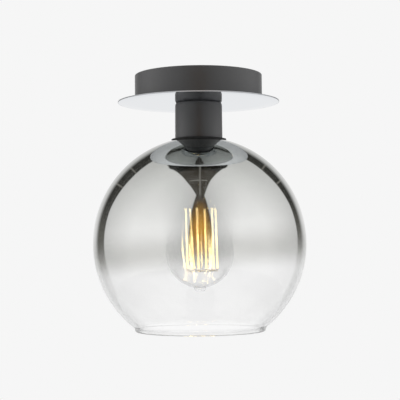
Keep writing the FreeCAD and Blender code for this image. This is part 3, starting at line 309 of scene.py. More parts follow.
class Nodes:
    """A node tree, with short calls to add and join its nodes."""

    def __init__(self, tree: bpy.types.NodeTree) -> None:
        """Empties the tree."""
        self.tree = tree
        self.tree.nodes.clear()

    def add(self, kind: str) -> bpy.types.Node:
        """Adds a shader node of a kind."""
        return self.tree.nodes.new("ShaderNode" + kind)

    def join(self, source: Socket, target: Socket) -> None:
        """Links an output to an input."""
        self.tree.links.new(source, target)

    def fill(self, socket: Socket, value: Value) -> None:
        """Sets an input to a number or colour, or links it to an output.

        Args:
            socket: the input.
            value: a number, a colour or an output.
        """
        if isinstance(value, Socket):
            self.join(value, socket)
        elif isinstance(value, tuple) and len(value) == 3:
            socket.default_value = (*value, 1.0) if len(socket.default_value) == 4 else value
        else:
            socket.default_value = value

    def coordinate(self, kind: str) -> Socket:
        """Where a surface is shaded: Object for its place in metres, Generated for the ray's direction."""
        return self.add("TexCoord").outputs[kind]

    def split(self, vector: Socket) -> bpy.types.NodeOutputs:
        """The X, Y and Z of a vector.

        Args:
            vector: an output that holds a vector.

        Returns:
            Its three parts, by letter.
        """
        node = self.add("SeparateXYZ")
        self.join(vector, node.inputs["Vector"])
        return node.outputs

    def maths(self, operation: str, *values: Value) -> Socket:
        """One arithmetic step on numbers or outputs.

        Args:
            operation: name of the step, such as ADD.
            values: numbers or outputs that go in, in order.

        Returns:
            The result.
        """
        node = self.add("Math")
        node.operation = operation
        for socket, value in zip(node.inputs, values):
            self.fill(socket, value)
        return node.outputs["Value"]

    def minus(self, value: Value, part: Value) -> Socket:
        """A number or output less another."""
        return self.maths("SUBTRACT", value, part)

    def product(self, *values: Value) -> Socket:
        """The product of several numbers or outputs."""
        return reduce(lambda total, value: self.maths("MULTIPLY", total, value), values)

    def largest(self, *values: Value) -> Socket:
        """The largest of several numbers or outputs."""
        return reduce(lambda total, value: self.maths("MAXIMUM", total, value), values)

    def noise(self, vector: Socket, size: float, detail: float = 3.0) -> Socket:
        """Cloudy noise from 0 to 1 whose clouds are about the given size.

        Args:
            vector: where the noise is read.
            size: size of the clouds in metres.
            detail: how many finer layers it has.

        Returns:
            The noise.
        """
        node = self.add("TexNoise")
        node.inputs["Scale"].default_value = 1.0 / size
        node.inputs["Detail"].default_value = detail
        self.join(vector, node.inputs["Vector"])
        return node.outputs["Fac"]

    def spread(self, value: Socket, source: Span, target: Span = UNIT, kind: str = "LINEAR") -> Socket:
        """Maps a number from one range to another, held at its ends.

        Args:
            value: the number.
            source: two ends of the range that it comes from.
            target: what each end maps to.
            kind: LINEAR, or SMOOTHSTEP for soft ends.

        Returns:
            The mapped number.
        """
        node = self.add("MapRange")
        node.interpolation_type = kind
        node.clamp = True
        for socket, number in zip(node.inputs, (value, *source, *target)):
            self.fill(socket, number)
        return node.outputs["Result"]

    def ramp(self, value: Socket, slope: float, offset: float) -> Socket:
        """Slope times a value plus an offset, held between 0 and 1.

        Args:
            value: the value.
            slope: how fast the ramp rises.
            offset: height of the ramp where the value is 0.

        Returns:
            The height of the ramp.
        """
        height = self.maths("MULTIPLY_ADD", value, slope, offset)
        height.node.use_clamp = True
        return height

    def step(self, value: Socket, edge: Value, width: float) -> Socket:
        """Rises from 0 to 1 as a value passes an edge, over a width.

        Args:
            value: the value.
            edge: where the step is half way up.
            width: how wide it is; below 0 it falls instead.

        Returns:
            The height of the step.
        """
        return self.ramp(self.minus(value, edge), 1.0 / width, 0.5)

    def stripe(self, value: Socket, middle: float, half_width: float) -> Socket:
        """1 where a value is at a middle, falling to 0 at a half width from it.

        Args:
            value: the value.
            middle: middle of the stripe.
            half_width: half its width.

        Returns:
            The stripe's share.
        """
        return self.ramp(self.maths("ABSOLUTE", self.minus(value, middle)), -1.0 / half_width, 1.0)

    def grey(self, value: Value) -> Socket:
        """The grey of a number or output.

        Args:
            value: how light it is.

        Returns:
            The colour.
        """
        node = self.add("CombineColor")
        for socket in node.inputs:
            self.fill(socket, value)
        return node.outputs["Color"]

    def blend(self, factor: Socket, low: Value, high: Value) -> Socket:
        """A colour between two, by a factor from 0 to 1.

        Args:
            factor: share of the second colour.
            low: first colour.
            high: second colour.

        Returns:
            The blend.
        """
        node = self.add("Mix")
        node.data_type = "RGBA"
        self.fill(node.inputs["Factor"], factor)
        sockets = [socket for socket in node.inputs if socket.type == "RGBA"]
        for socket, value in zip(sockets, (low, high)):
            self.fill(socket, value)
        return next(socket for socket in node.outputs if socket.type == "RGBA")


class Graph(Nodes):
    """A material made of one Principled shader and the nodes that drive it."""

    def __init__(self, name: str) -> None:
        """Starts an empty material of the given name.

        Args:
            name: name of the material.
        """
        self.material = bpy.data.materials.new(name)
        self.material.use_nodes = True
        super().__init__(self.material.node_tree)
        self.shader = self.add("BsdfPrincipled")
        self.join(self.shader.outputs["BSDF"], self.add("OutputMaterial").inputs["Surface"])

    def set(self, **values: Value) -> None:
        """Sets the shader's inputs, each named with its spaces as underscores."""
        for name, value in values.items():
            self.fill(self.shader.inputs[name.replace("_", " ")], value)

    def place(self) -> Socket:
        """The point on the piece, in metres."""
        return self.coordinate("Object")

    def stretched(self, scale: tuple[float, float, float]) -> Socket:
        """The point on the piece, scaled along each axis.

        Args:
            scale: factor along X, Y and Z.

        Returns:
            The scaled point.
        """
        node = self.add("Mapping")
        node.inputs["Scale"].default_value = scale
        self.join(self.place(), node.inputs["Vector"])
        return node.outputs["Vector"]

    def reach(self, centre_height: float | None = None) -> Socket:
        """Distance from the axis, or from a point on it.

        Args:
            centre_height: height of the point on the axis; without it the height is left out.

        Returns:
            The distance in metres.
        """
        place = self.split(self.place())
        total = self.maths("ADD", self.maths("POWER", place["X"], 2.0), self.maths("POWER", place["Y"], 2.0))
        if centre_height is not None:
            rise = self.minus(place["Z"], centre_height)
            total = self.maths("ADD", total, self.maths("POWER", rise, 2.0))
        return self.maths("SQRT", total)

    def drifting(self, noise: Socket, roughness: float, shares: Span) -> Socket:
        """A roughness that drifts with a noise between two shares of itself, and never past 1.

        Args:
            noise: the noise.
            roughness: the roughness.
            shares: its smallest and largest share.

        Returns:
            The drifting roughness.
        """
        low, high = (min(1.0, roughness * share) for share in shares)
        return self.spread(noise, NOISE_RANGE, (low, high))

    def tinted(self, face: Colour, edge: Colour) -> Socket:
        """The tint of a glass wall, from face on to edge on, where light has a longer way through it.

        Args:
            face: tint face on.
            edge: tint edge on.

        Returns:
            The colour.
        """
        facing = self.add("LayerWeight").outputs["Facing"]
        return self.blend(self.spread(facing, EDGE_RANGE), face, edge)

    def bump(self, height: Socket, depth: float, strength: float) -> None:
        """Raises the surface by a height from 0 to 1 times a depth in metres.

        Args:
            height: the height.
            depth: the depth in metres.
            strength: share of the effect.
        """
        node = self.add("Bump")
        node.inputs["Strength"].default_value = strength
        node.inputs["Distance"].default_value = depth
        self.join(height, node.inputs["Height"])
        self.join(node.outputs["Normal"], self.shader.inputs["Normal"])


def toned(colour: Colour, gain: float, lift: float = 0.0) -> Colour:
    """A colour times a gain plus a lift, with no channel past 1."""
    return tuple(min(1.0, channel * gain + lift) for channel in colour)


@dataclass(frozen=True)
class PowderCoat:
    """A satin powder coat with a fine orange-peel skin."""

    name: str
    colour: Colour
    cloud: float = 0.02
    cloud_gain: float = 1.18
    roughness: Span = (0.38, 0.47)
    grain: float = 0.0011
    grain_detail: float = 2.0
    depth: float = 0.00002
    relief: float = 0.5

    def material(self) -> bpy.types.Material:
        """Builds the coat: dark colour with faint clouds, an even sheen and small dimples.

        Returns:
            The new material.
        """
        graph = Graph(self.name)
        clouds = graph.noise(graph.place(), self.cloud)
        grain = graph.noise(graph.place(), self.grain, self.grain_detail)
        graph.set(Base_Color=graph.blend(clouds, self.colour, toned(self.colour, self.cloud_gain)))
        graph.set(Roughness=graph.spread(grain, NOISE_RANGE, self.roughness))
        graph.bump(grain, self.depth, self.relief)
        return graph.material


@dataclass(frozen=True)
class PolishedMetal:
    """Sheet metal polished to a mirror, with the faintest haze."""

    name: str
    colour: Colour
    edge_colour: Colour
    edge_radius: float
    edge_blur: float = 0.0002
    edge_roughness: float = 0.5
    roughness: float = 0.03
    drift: Span = (0.7, 1.4)
    haze: float = 0.03

    def material(self) -> bpy.types.Material:
        """Builds the polish: a clean metal whose roughness drifts a little, with a satin sheared edge.

        Returns:
            The new material.
        """
        graph = Graph(self.name)
        haze = graph.drifting(graph.noise(graph.place(), self.haze), self.roughness, self.drift)
        edge = graph.step(graph.reach(), self.edge_radius, self.edge_blur)
        rough = graph.maths("ADD", haze, graph.product(edge, self.edge_roughness))
        graph.set(Base_Color=graph.blend(edge, self.colour, self.edge_colour), Metallic=1.0, Roughness=rough)
        return graph.material


@dataclass(frozen=True)
class TurnedMetal:
    """Plated or bare metal with fine lines from turning, rolling or drawing."""

    name: str
    colour: Colour
    roughness: float = 0.3
    drift: Span = (0.8, 1.25)
    line_size: float = 0.004
    line_detail: float = 4.0
    line_scale: tuple[float, float, float] = (0.15, 0.15, 8.0)
    line_gain: float = 0.82
    depth: float = 0.00001
    relief: float = 0.4

    def material(self) -> bpy.types.Material:
        """Builds the metal: streaks along the worked direction in colour, roughness and height.

        Returns:
            The new material.
        """
        graph = Graph(self.name)
        streaks = graph.noise(graph.stretched(self.line_scale), self.line_size, self.line_detail)
        graph.set(Base_Color=graph.blend(streaks, toned(self.colour, self.line_gain), self.colour), Metallic=1.0)
        graph.set(Roughness=graph.drifting(streaks, self.roughness, self.drift))
        graph.bump(streaks, self.depth, self.relief)
        return graph.material


@dataclass(frozen=True)
class Moulded:
    """A moulded or fired material with a faint texture."""

    name: str
    colour: Colour
    surface: Surface = Surface.MATTE
    drift: Span = (0.9, 1.12)
    cloud: float = 0.012
    cloud_gain: float = 1.15
    cloud_lift: float = 0.004
    grain: float = 0.0008
    grain_detail: float = 2.0
    depth: float = 0.00002
    relief: float = 0.5

    def material(self) -> bpy.types.Material:
        """Builds the material: small changes of tone and a grain in height and roughness.

        Returns:
            The new material.
        """
        graph = Graph(self.name)
        grain = graph.noise(graph.place(), self.grain, self.grain_detail)
        clouds = graph.noise(graph.place(), self.cloud)
        lighter = toned(self.colour, self.cloud_gain, self.cloud_lift)
        graph.set(Base_Color=graph.blend(clouds, self.colour, lighter))
        graph.set(Roughness=graph.drifting(grain, self.surface.value, self.drift))
        graph.bump(grain, self.depth, self.relief)
        return graph.material


@dataclass(frozen=True)
class ClearGlass:
    """Plain clear glass."""

    name: str
    face: Colour = (1.0, 1.0, 1.0)
    edge: Colour = (0.95, 0.95, 0.95)
    wave: float = 0.03
    wave_detail: float = 1.0
    depth: float = 0.0001
    relief: float = 0.25

    def material(self) -> bpy.types.Material:
        """Builds the glass: all its light goes through or is mirrored, with a trace of waviness.

        Returns:
            The new material.
        """
        graph = Graph(self.name)
        graph.set(Base_Color=graph.tinted(self.face, self.edge))
        graph.set(Roughness=0.0, IOR=GLASS_INDEX, Transmission_Weight=1.0)
        graph.bump(graph.noise(graph.place(), self.wave, self.wave_detail), self.depth, self.relief)
        return graph.material


@dataclass(frozen=True)
class MirroredGlass:
    """Clear glass with a metal film on its outside that fades out downwards."""

    name: str
    centre_height: float
    film_radius: float
    face: Colour = (1.0, 1.0, 1.0)
    edge: Colour = (0.87, 0.875, 0.875)
    film: Colour = (0.81, 0.812, 0.797)
    thick_film: Colour = (0.45, 0.46, 0.435)
    thin_film: Colour = (0.745, 0.745, 0.725)
    strength: float = 0.93
    top_height: float = -0.068
    full_height: float = -0.142
    clear_height: float = -0.1895
    lean: float = 0.055
    film_blur: float = 0.0001

    def material(self) -> bpy.types.Material:
        """Builds the glass: the film's share falls from one height to another, on the outer wall only.

        The film is duller near the top. Where it is thin it swallows some light, most of all at half its share,
        so the colour dips to a smoky grey there. Its lower edge leans, because it was sprayed on from one side.

        Returns:
            The new material.
        """
        graph = Graph(self.name)
        place = graph.split(graph.place())
        height = graph.maths("MULTIPLY_ADD", place["X"], -self.lean, place["Z"])
        share = graph.spread(height, (self.clear_height, self.full_height), UNIT, "SMOOTHSTEP")
        film = graph.product(share, graph.step(graph.reach(self.centre_height), self.film_radius, self.film_blur))
        thin = graph.product(film, graph.minus(1.0, film), 4.0)
        near_top = graph.spread(height, (self.full_height, self.top_height))
        metal = graph.blend(near_top, self.film, self.thick_film)
        wall = graph.blend(film, graph.tinted(self.face, self.edge), metal)
        graph.set(Metallic=graph.product(film, self.strength), Base_Color=graph.blend(thin, wall, self.thin_film))
        graph.set(Roughness=0.0, IOR=GLASS_INDEX, Transmission_Weight=1.0)
        return graph.material


@dataclass(frozen=True)
class Glowing:
    """A lit filament: a phosphor coat that shines, with the chips under it a little brighter."""

    name: str
    coat: Colour
    chip: Colour
    strength: float
    bright_height: float
    calm_height: float
    calm_share: float
    chip_pitch: float = 0.0016
    roughness: float = 0.6

    def material(self) -> bpy.types.Material:
        """Builds the glow: bands along Z between two warm colours, calmer from one height to another.

        Returns:
            The new material.
        """
        graph = Graph(self.name)
        height = graph.split(graph.place())["Z"]
        wave = graph.maths("SINE", graph.product(height, TURN / self.chip_pitch))
        warm = graph.blend(graph.spread(wave, (-1.0, 1.0)), self.coat, self.chip)
        low = graph.spread(height, (self.bright_height, self.calm_height))
        shine = graph.blend(low, warm, toned(self.chip, self.calm_share))
        graph.set(Base_Color=self.coat, Roughness=self.roughness)
        graph.set(Emission_Color=shine, Emission_Strength=self.strength)
        return graph.material


Finish = PowderCoat | PolishedMetal | TurnedMetal | Moulded | ClearGlass | MirroredGlass | Glowing

CHARCOAL = PowderCoat("charcoal_coat", (0.048, 0.048, 0.049))
POLISHED = PolishedMetal("polished_steel", (0.745, 0.77, 0.805), (0.50, 0.51, 0.53), 0.0757)
ZINC = TurnedMetal("zinc_steel", (0.62, 0.63, 0.64), 0.32)
NICKEL = TurnedMetal("nickel_cap", (0.74, 0.70, 0.62), 0.2)
WIRE = TurnedMetal("nickel_wire", (0.50, 0.47, 0.42), 0.3)
BRASS = TurnedMetal("brass_contact", (0.78, 0.58, 0.27), 0.28)
TINNED = TurnedMetal("tinned_tag", (0.75, 0.75, 0.74), 0.35)
BLACK_PHENOLIC = Moulded("black_phenolic", (0.018, 0.018, 0.019), Surface.SMOOTH)
BLACK_RUBBER = Moulded("black_rubber", (0.012, 0.012, 0.012), Surface.RUBBERY)
WHITE_PLASTIC = Moulded("white_plastic", (0.74, 0.73, 0.69), Surface.SMOOTH)
CERAMIC = Moulded("holder_ceramic", (0.80, 0.78, 0.73), Surface.MATTE)
VITRITE = Moulded("dark_vitrite", (0.012, 0.011, 0.016), Surface.SMOOTH)
BROWN_SLEEVE = Moulded("brown_insulation", (0.16, 0.06, 0.025), Surface.SMOOTH)
BLUE_SLEEVE = Moulded("blue_insulation", (0.02, 0.09, 0.40), Surface.SMOOTH)
GREEN_SLEEVE = Moulded("green_insulation", (0.30, 0.42, 0.03), Surface.SMOOTH)
BOARD_LAMINATE = Moulded("circuit_board", (0.03, 0.17, 0.06), Surface.SMOOTH)
DARK_COMPONENT = Moulded("dark_component", (0.02, 0.02, 0.022), Surface.MATTE)
LAMP_GLASS = ClearGlass("lamp_glass")
LIT_FILAMENT = Glowing(
    "lit_filament",
    coat=(1.0, 0.72, 0.26),
    chip=(1.0, 0.82, 0.42),
    strength=12.0,
    bright_height=-0.142,
    calm_height=-0.166,
    calm_share=0.16,
)


@cache
def material_of(finish: Finish) -> bpy.types.Material:
    """The material of a finish, made once and shared by all pieces that have it."""
    return finish.material()


# --- Sub-assemblies ----------------------------------------------------------------------------------------------


def top_of(node: str) -> float:
    """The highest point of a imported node."""
    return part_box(node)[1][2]


def foot_of(node: str) -> float:
    """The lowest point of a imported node."""
    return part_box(node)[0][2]


def finish_piece(piece: Piece, body: str, node: str, finish: Finish) -> None:
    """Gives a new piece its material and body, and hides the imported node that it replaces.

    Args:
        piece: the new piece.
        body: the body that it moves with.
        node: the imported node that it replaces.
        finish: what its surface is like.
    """
    piece.data.materials.append(material_of(finish))
    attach(piece, body)
    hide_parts(node)
    LOG.info("%s: %d faces, rides on %s", piece.name, len(piece.data.polygons), body)


@dataclass
class CeilingPlate:
    """The shallow canopy and the polished disc under it, both round a hole for the nipple."""

    canopy_radius: float = 0.060
    canopy_wall: float = 0.0012
    canopy_edge: float = 0.0007
    disc_radius: float = 0.076
    disc_edge: float = 0.0002
    hole_radius: float = 0.00515

    def build_canopy(self) -> Piece:
        """The canopy: a spun cup open towards the ceiling, its lower corner and its rim rounded.

        Returns:
            The new piece.
        """
        low = foot_of("canopy")
        radius = self.canopy_radius
        inner = radius - self.canopy_wall
        edge = self.canopy_edge
        floor = low + self.canopy_wall
        lip = self.canopy_wall / 2
        points = outline(
            line((self.hole_radius, low), (radius - edge, low), 8),
            bezier([(radius - edge, low), (radius, low), (radius, low + edge)], 7),
            line((radius, low + edge), (radius, -lip), 6),
            arc((radius - lip, -lip), lip, 0.0, pi, 9),
            line((inner, -lip), (inner, floor), 6),
            line((inner, floor), (self.hole_radius, floor), 8),
        )
        return lathe("canopy_shell", points, Fineness.LARGE)

    def build_disc(self) -> Piece:
        """The disc: a thin flat ring with both edges broken.

        Returns:
            The new piece.
        """
        low = foot_of("mirror_disc")
        high = top_of("mirror_disc")
        radius = self.disc_radius
        edge = self.disc_edge
        points = outline(
            line((self.hole_radius, low), (radius - edge, low), 6),
            bezier([(radius - edge, low), (radius, low), (radius, low + edge)], 4),
            bezier([(radius, high - edge), (radius, high), (radius - edge, high)], 4),
            line((radius - edge, high), (self.hole_radius, high), 6),
        )
        return lathe("polished_plate", points, Fineness.LARGE)

    def dress(self) -> None:
        """Builds both pieces and finishes them."""
        finish_piece(self.build_canopy(), "fixture", "canopy", CHARCOAL)
        finish_piece(self.build_disc(), "fixture", "mirror_disc", POLISHED)


@dataclass
class HolderCup:
    """The charcoal cup round the lampholder."""

    top_radius: float = 0.02215
    rim_radius: float = 0.02235
    wall: float = 0.0012
    top_thickness: float = 0.0014
    shoulder_width: float = 0.0020
    shoulder_height: float = 0.0034
    hole_radius: float = 0.00515

    def build(self) -> Piece:
        """The cup: a soft shoulder, walls that widen a hair, and a rim rounded over its wall.

        Returns:
            The new piece.
        """
        high = top_of("lampholder_cover")
        low = foot_of("lampholder_cover")
        shoulder = high - self.shoulder_height
        ceiling = high - self.top_thickness
        inner_top = self.top_radius - self.wall
        flat_end = self.top_radius - self.shoulder_width
        lip = self.wall / 2
        rim_middle = (self.rim_radius - lip, low + lip)
        points = outline(
            arc(rim_middle, lip, -pi, 0.0, 9),
            line((self.rim_radius, low + lip), (self.top_radius, shoulder), 8),
            bezier([(self.top_radius, shoulder), (self.top_radius, high), (flat_end, high)], 14),
            line((flat_end, high), (self.hole_radius, high), 4),
            line((self.hole_radius, ceiling), (flat_end, ceiling), 4),
            bezier([(flat_end, ceiling), (inner_top, ceiling), (inner_top, shoulder)], 10),
            line((inner_top, shoulder), (self.rim_radius - self.wall, low + lip), 8),
        )
        return lathe("holder_sleeve", points, Fineness.MEDIUM)

    def dress(self) -> None:
        """Builds the cup and finishes it."""
        finish_piece(self.build(), "fixture", "lampholder_cover", CHARCOAL)


@dataclass
class Globe:
    """The mirrored glass globe, with the soft rings above and below its hole."""

    radius: float = 0.100
    wall: float = 0.0028
    hole_radius: float = 0.0212
    hole_polish: float = 0.0006
    rim_radius: float = 0.0612
    lip: float = 0.003
    neck_rise: float = 0.0012
    neck_turn: float = 0.025
    gasket_inner: float = 0.0214
    gasket_outer: float = 0.0258
    washer_inner: float = 0.0216
    washer_outer: float = 0.0265
    centre: float = field(init=False)

    def __post_init__(self) -> None:
        """Finds the sphere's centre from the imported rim."""
        self.centre = foot_of("glass_shade") + self.lip + sqrt(self.radius**2 - self.rim_radius**2)

    def on_sphere(self, radius: float, angle: float) -> tuple[float, float]:
        """Radius and height of the point at an angle on a sphere about the globe's centre."""
        return (radius * cos(angle), self.centre + radius * sin(angle))

    def build_glass(self) -> Piece:
        """The glass: two spheres about one centre, joined by a fire-polished hole and a short lip.

        The lip's walls run into the spheres on soft bends.

        Returns:
            The new piece.
        """
        inner = self.radius - self.wall
        lip_inner = self.rim_radius - self.wall
        half = self.wall / 2
        bottom = foot_of("glass_shade")
        outer_top = angle_at(self.radius, self.hole_radius)
        inner_top = angle_at(inner, self.hole_radius)
        outer_low = -angle_at(self.radius, self.rim_radius)
        inner_low = -angle_at(inner, lip_inner)
        high = (self.hole_radius, self.centre + self.radius * sin(outer_top))
        low = (self.hole_radius, self.centre + inner * sin(inner_top))
        mouth = (self.hole_radius - 2 * self.hole_polish, (high[1] + low[1]) / 2)
        outer_corner = self.on_sphere(self.radius, outer_low)
        inner_corner = self.on_sphere(inner, inner_low)
        outer_bend = outer_low + self.neck_turn
        inner_bend = inner_low + self.neck_turn
        outer_lip = (self.rim_radius, outer_corner[1] - self.neck_rise)
        inner_lip = (lip_inner, inner_corner[1] - self.neck_rise)
        points = outline(
            arc((self.rim_radius - half, bottom + half), half, -pi, 0.0, 13),
            line((self.rim_radius, bottom + half), outer_lip, 3),
            bezier([outer_lip, outer_corner, self.on_sphere(self.radius, outer_bend)], 10),
            arc((0.0, self.centre), self.radius, outer_bend, outer_top, 170),
            bezier([high, mouth, low], 9),
            arc((0.0, self.centre), inner, inner_top, inner_bend, 160),
            bezier([self.on_sphere(inner, inner_bend), inner_corner, inner_lip], 10),
            line(inner_lip, (lip_inner, bottom + half), 3),
        )
        return lathe("globe_glass", points, Fineness.LARGE)

    def build_gasket(self) -> Piece:
        """The gasket: flat above, resting on the sphere below.

        Returns:
            The new piece.
        """
        high = top_of("shade_gasket")
        outer = angle_at(self.radius, self.gasket_outer)
        inner = angle_at(self.radius, self.gasket_inner)
        points = outline(
            arc((0.0, self.centre), self.radius, inner, outer, 6),
            line((self.gasket_outer, high), (self.gasket_inner, high), 4),
        )
        return lathe("gasket_ring", points, Fineness.MEDIUM)

    def build_washer(self) -> Piece:
        """The washer: flat below, pressed against the glass above.

        Returns:
            The new piece.
        """
        low = foot_of("ring_washer")
        sphere = self.radius - self.wall
        outer = angle_at(sphere, self.washer_outer)
        inner = angle_at(sphere, self.washer_inner)
        points = outline(
            line((self.washer_inner, low), (self.washer_outer, low), 4),
            arc((0.0, self.centre), sphere, outer, inner, 6),
        )
        return lathe("clamp_washer", points, Fineness.MEDIUM)

    def dress(self) -> None:
        """Builds the three pieces and finishes them."""
        mirrored = MirroredGlass("mirrored_glass", self.centre, self.radius - self.wall / 2)
        finish_piece(self.build_glass(), "shade", "glass_shade", mirrored)
        finish_piece(self.build_gasket(), "shade", "shade_gasket", BLACK_RUBBER)
        finish_piece(self.build_washer(), "shade", "ring_washer", BLACK_RUBBER)


@dataclass
class Lamp:
    """The filament lamp: envelope, stem, wires and six lit filaments."""

    plug_radius: float = 0.01145
    plug_length: float = 0.009
    neck_radius: float = 0.0136
    neck_length: float = 0.014
    belly_radius: float = 0.032
    wall: float = 0.0008
    neck_curve: float = 0.022
    belly_curve: float = 0.026
    tip_radius: float = 0.0056
    tip_height: float = 0.0033
    filament_count: int = 6
    filament_radius: float = 0.0009
    filament_leans: tuple[float, ...] = (0.0013, 0.0012, 0.0034, 0.0015, 0.0014, 0.0012)
    ring_radius: float = 0.0146
    cage_aside: float = 0.0012
    turn_share: float = 0.25
    lead_offset: float = 0.0032
    lead_fork: float = 0.1149
    branch_radius: float = 0.0003
    wave: float = 0.0012
    wave_draw: float = 0.10
    spokes: int = 3
    rod_radius: float = 0.0015
    press_radius: float = 0.005
    flare_radius: float = 0.0104
    flare_length: float = 0.014
    press_length: float = 0.012
    press_wall: float = 0.0012
    press_share: float = 3.0
    button_radius: float = 0.0022
    button_share: float = 2.4
    widest: float = field(init=False)
    cap_end: float = field(init=False)

    def __post_init__(self) -> None:
        """Finds the envelope's widest level and the cap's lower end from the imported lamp."""
        self.widest = foot_of("bulb_glass") + self.tip_height + self.belly_radius
        self.cap_end = top_of("bulb_glass") - self.plug_length

    def side(self, inset: float) -> np.ndarray:
        """The envelope's side from neck to widest level, moved in by an inset.

        Args:
            inset: distance towards the axis.

        Returns:
            Points from the neck's top to the widest level.
        """
        neck_end = self.cap_end - self.neck_length
        flare_end = self.cap_end - (self.neck_radius - self.plug_radius)
        neck = self.neck_radius - inset
        belly = self.belly_radius - inset
        plug = self.plug_radius - inset
        neck_pull = (neck, neck_end - self.neck_curve)
        belly_pull = (belly, self.widest + self.belly_curve)
        return outline(
            line((plug, self.cap_end + self.plug_length), (plug, self.cap_end), 4),
            bezier([(plug, self.cap_end), (neck, self.cap_end), (neck, flare_end)], 8),
            line((neck, flare_end), (neck, neck_end), 4),
            bezier([(neck, neck_end), neck_pull, belly_pull, (belly, self.widest)], 40),
        )

    def build_envelope(self) -> Piece:
        """The envelope: a long S-shaped side, a round end and a small tip, open at the plug.

        Returns:
            The new piece.
        """
        tip = foot_of("bulb_glass")
        tip_turn = -angle_at(self.belly_radius, self.tip_radius)
        tip_base = self.widest + self.belly_radius * sin(tip_turn)
        inner = self.belly_radius - self.wall
        tip_inner = self.tip_radius - self.wall
        inner_turn = -angle_at(inner, tip_inner)
        inner_base = self.widest + inner * sin(inner_turn)
        outside = outline(
            bezier([(0.0, tip), (self.tip_radius, tip), (self.tip_radius, tip_base)], 12),
            arc((0.0, self.widest), self.belly_radius, tip_turn, 0.0, 40),
            self.side(0.0)[::-1],
        )
        inside = outline(
            self.side(self.wall),
            arc((0.0, self.widest), inner, 0.0, inner_turn, 40),
            bezier([(tip_inner, inner_base), (tip_inner, tip + self.wall), (0.0, tip + self.wall)], 12),
        )
        return lathe("lamp_envelope", outline(outside, inside), Fineness.MEDIUM)

    def build_stem(self) -> Piece:
        """The stem: a flare that narrows to the press, a long thin rod and its button.

        Returns:
            The new piece.
        """
        top = top_of("bulb_stem")
        foot = foot_of("bulb_stem")
        flare_end = top - self.flare_length
        press_end = flare_end - self.press_length
        wall = self.press_wall
        button = self.button_radius
        rod = self.rod_radius
        press = self.press_radius
        button_end = foot + self.button_share * button
        press_start = press_end + self.press_share * wall
        points = outline(
            bezier([(0.0, foot), (button, foot), (button, foot + button)], 8),
            bezier([(button, foot + button), (button, foot + 2 * button), (rod, button_end)], 6),
            line((rod, button_end), (rod, press_end), 6),
            bezier([(rod, press_end), (rod, press_end + wall), (press, press_start)], 8),
            line((press, press_start), (press, flare_end), 4),
            bezier([(press, flare_end), (press, top), (self.flare_radius, top)], 14),
            bezier([(self.flare_radius - wall, top), (press - wall, top), (press - wall, flare_end)], 14),
            line((press - wall, flare_end), (0.0, flare_end), 4),
        )
        return lathe("stem_glass", points, Fineness.SMALL)

    def angles(self) -> np.ndarray:
        """Directions of the filaments round the axis, in radians."""
        return (np.arange(self.filament_count) + self.turn_share) * TURN / self.filament_count

    def on_ring(self, radius: float, angle: float, height: float, aside: float = 0.0) -> np.ndarray:
        """A point at a radius and an angle round the axis, moved aside along X."""
        return np.array([radius * cos(angle) + aside, radius * sin(angle), height])

    def build_filaments(self) -> Piece:
        """The filaments: straight rods with round ends, from a ring round the stem, each leaning a little.

        Returns:
            The new piece.
        """
        high = top_of("filaments") - self.filament_radius
        low = foot_of("filaments") + self.filament_radius
        t = np.linspace(0.0, 1.0, 24)[None, :]
        angles = self.angles()[:, None]
        x = self.cage_aside + self.ring_radius * np.cos(angles) + np.array(self.filament_leans)[:, None] * t
        y = self.ring_radius * np.sin(angles) + 0.0 * t
        z = high + (low - high) * t + 0.0 * angles
        return tubes("filament_rods", list(np.stack([x, y, z], axis=-1)), self.filament_radius, 14)

    def build_leads(self) -> Piece:
        """The leads: two upright wires, each with a branch that bends down to every filament on its side.

        Returns:
            The new piece.
        """
        top = top_of("lead_wires")
        pin_end = foot_of("lead_wires")
        paths = []
        for side in (-1.0, 1.0):
            fork = np.array([side * self.lead_offset, 0.0, -self.lead_fork])
            start = np.array([side * self.lead_offset, 0.0, top - self.branch_radius])
            paths.append(line(start, fork, 12))
            for angle in self.angles():
                if cos(angle) * side > 0:
                    end = self.on_ring(self.ring_radius, angle, pin_end, self.cage_aside)
                    bend = end + np.array([0.0, 0.0, 4 * self.branch_radius])
                    paths.append(bezier([fork, bend, end], 16))
        return tubes("lead_wire_pair", paths, self.branch_radius, 8)

    def build_support(self) -> Piece:
        """The support: a wire ring whose height waves between the filaments, with pins and spokes.

        Returns:
            The new piece.
        """
        high = top_of("filament_support")
        level = foot_of("filament_support") + self.wave + self.branch_radius
        turn = np.linspace(0.0, TURN, 97)
        phase = (turn - self.angles()[0]) * self.filament_count
        dip = (1.0 - np.cos(phase)) / 2
        reach = self.ring_radius * (1.0 - self.wave_draw * dip)
        leans = self.cage_aside + np.array(self.filament_leans)
        lean = np.interp(turn, self.angles(), leans, period=TURN)
        ring = np.stack([reach * np.cos(turn) + lean, reach * np.sin(turn), level - self.wave * dip], axis=1)
        paths = [ring]
        for index, angle in enumerate(self.angles()):
            foot = self.on_ring(self.ring_radius, angle, level, leans[index])
            head = self.on_ring(self.ring_radius, angle, high, leans[index])
            paths.append(line(head, foot, 4))
            if index % (self.filament_count // self.spokes) == 0:
                hub = self.on_ring(self.button_radius, angle, level)
                paths.append(line(hub, foot, 6))
        return tubes("filament_ring", paths, self.branch_radius, 8)

    def dress(self) -> None:
        """Builds the pieces and finishes them."""
        finish_piece(self.build_envelope(), "lamp", "bulb_glass", LAMP_GLASS)
        finish_piece(self.build_stem(), "lamp", "bulb_stem", LAMP_GLASS)
        finish_piece(self.build_filaments(), "lamp", "filaments", LIT_FILAMENT)
        finish_piece(self.build_leads(), "lamp", "lead_wires", WIRE)
        finish_piece(self.build_support(), "lamp", "filament_support", WIRE)


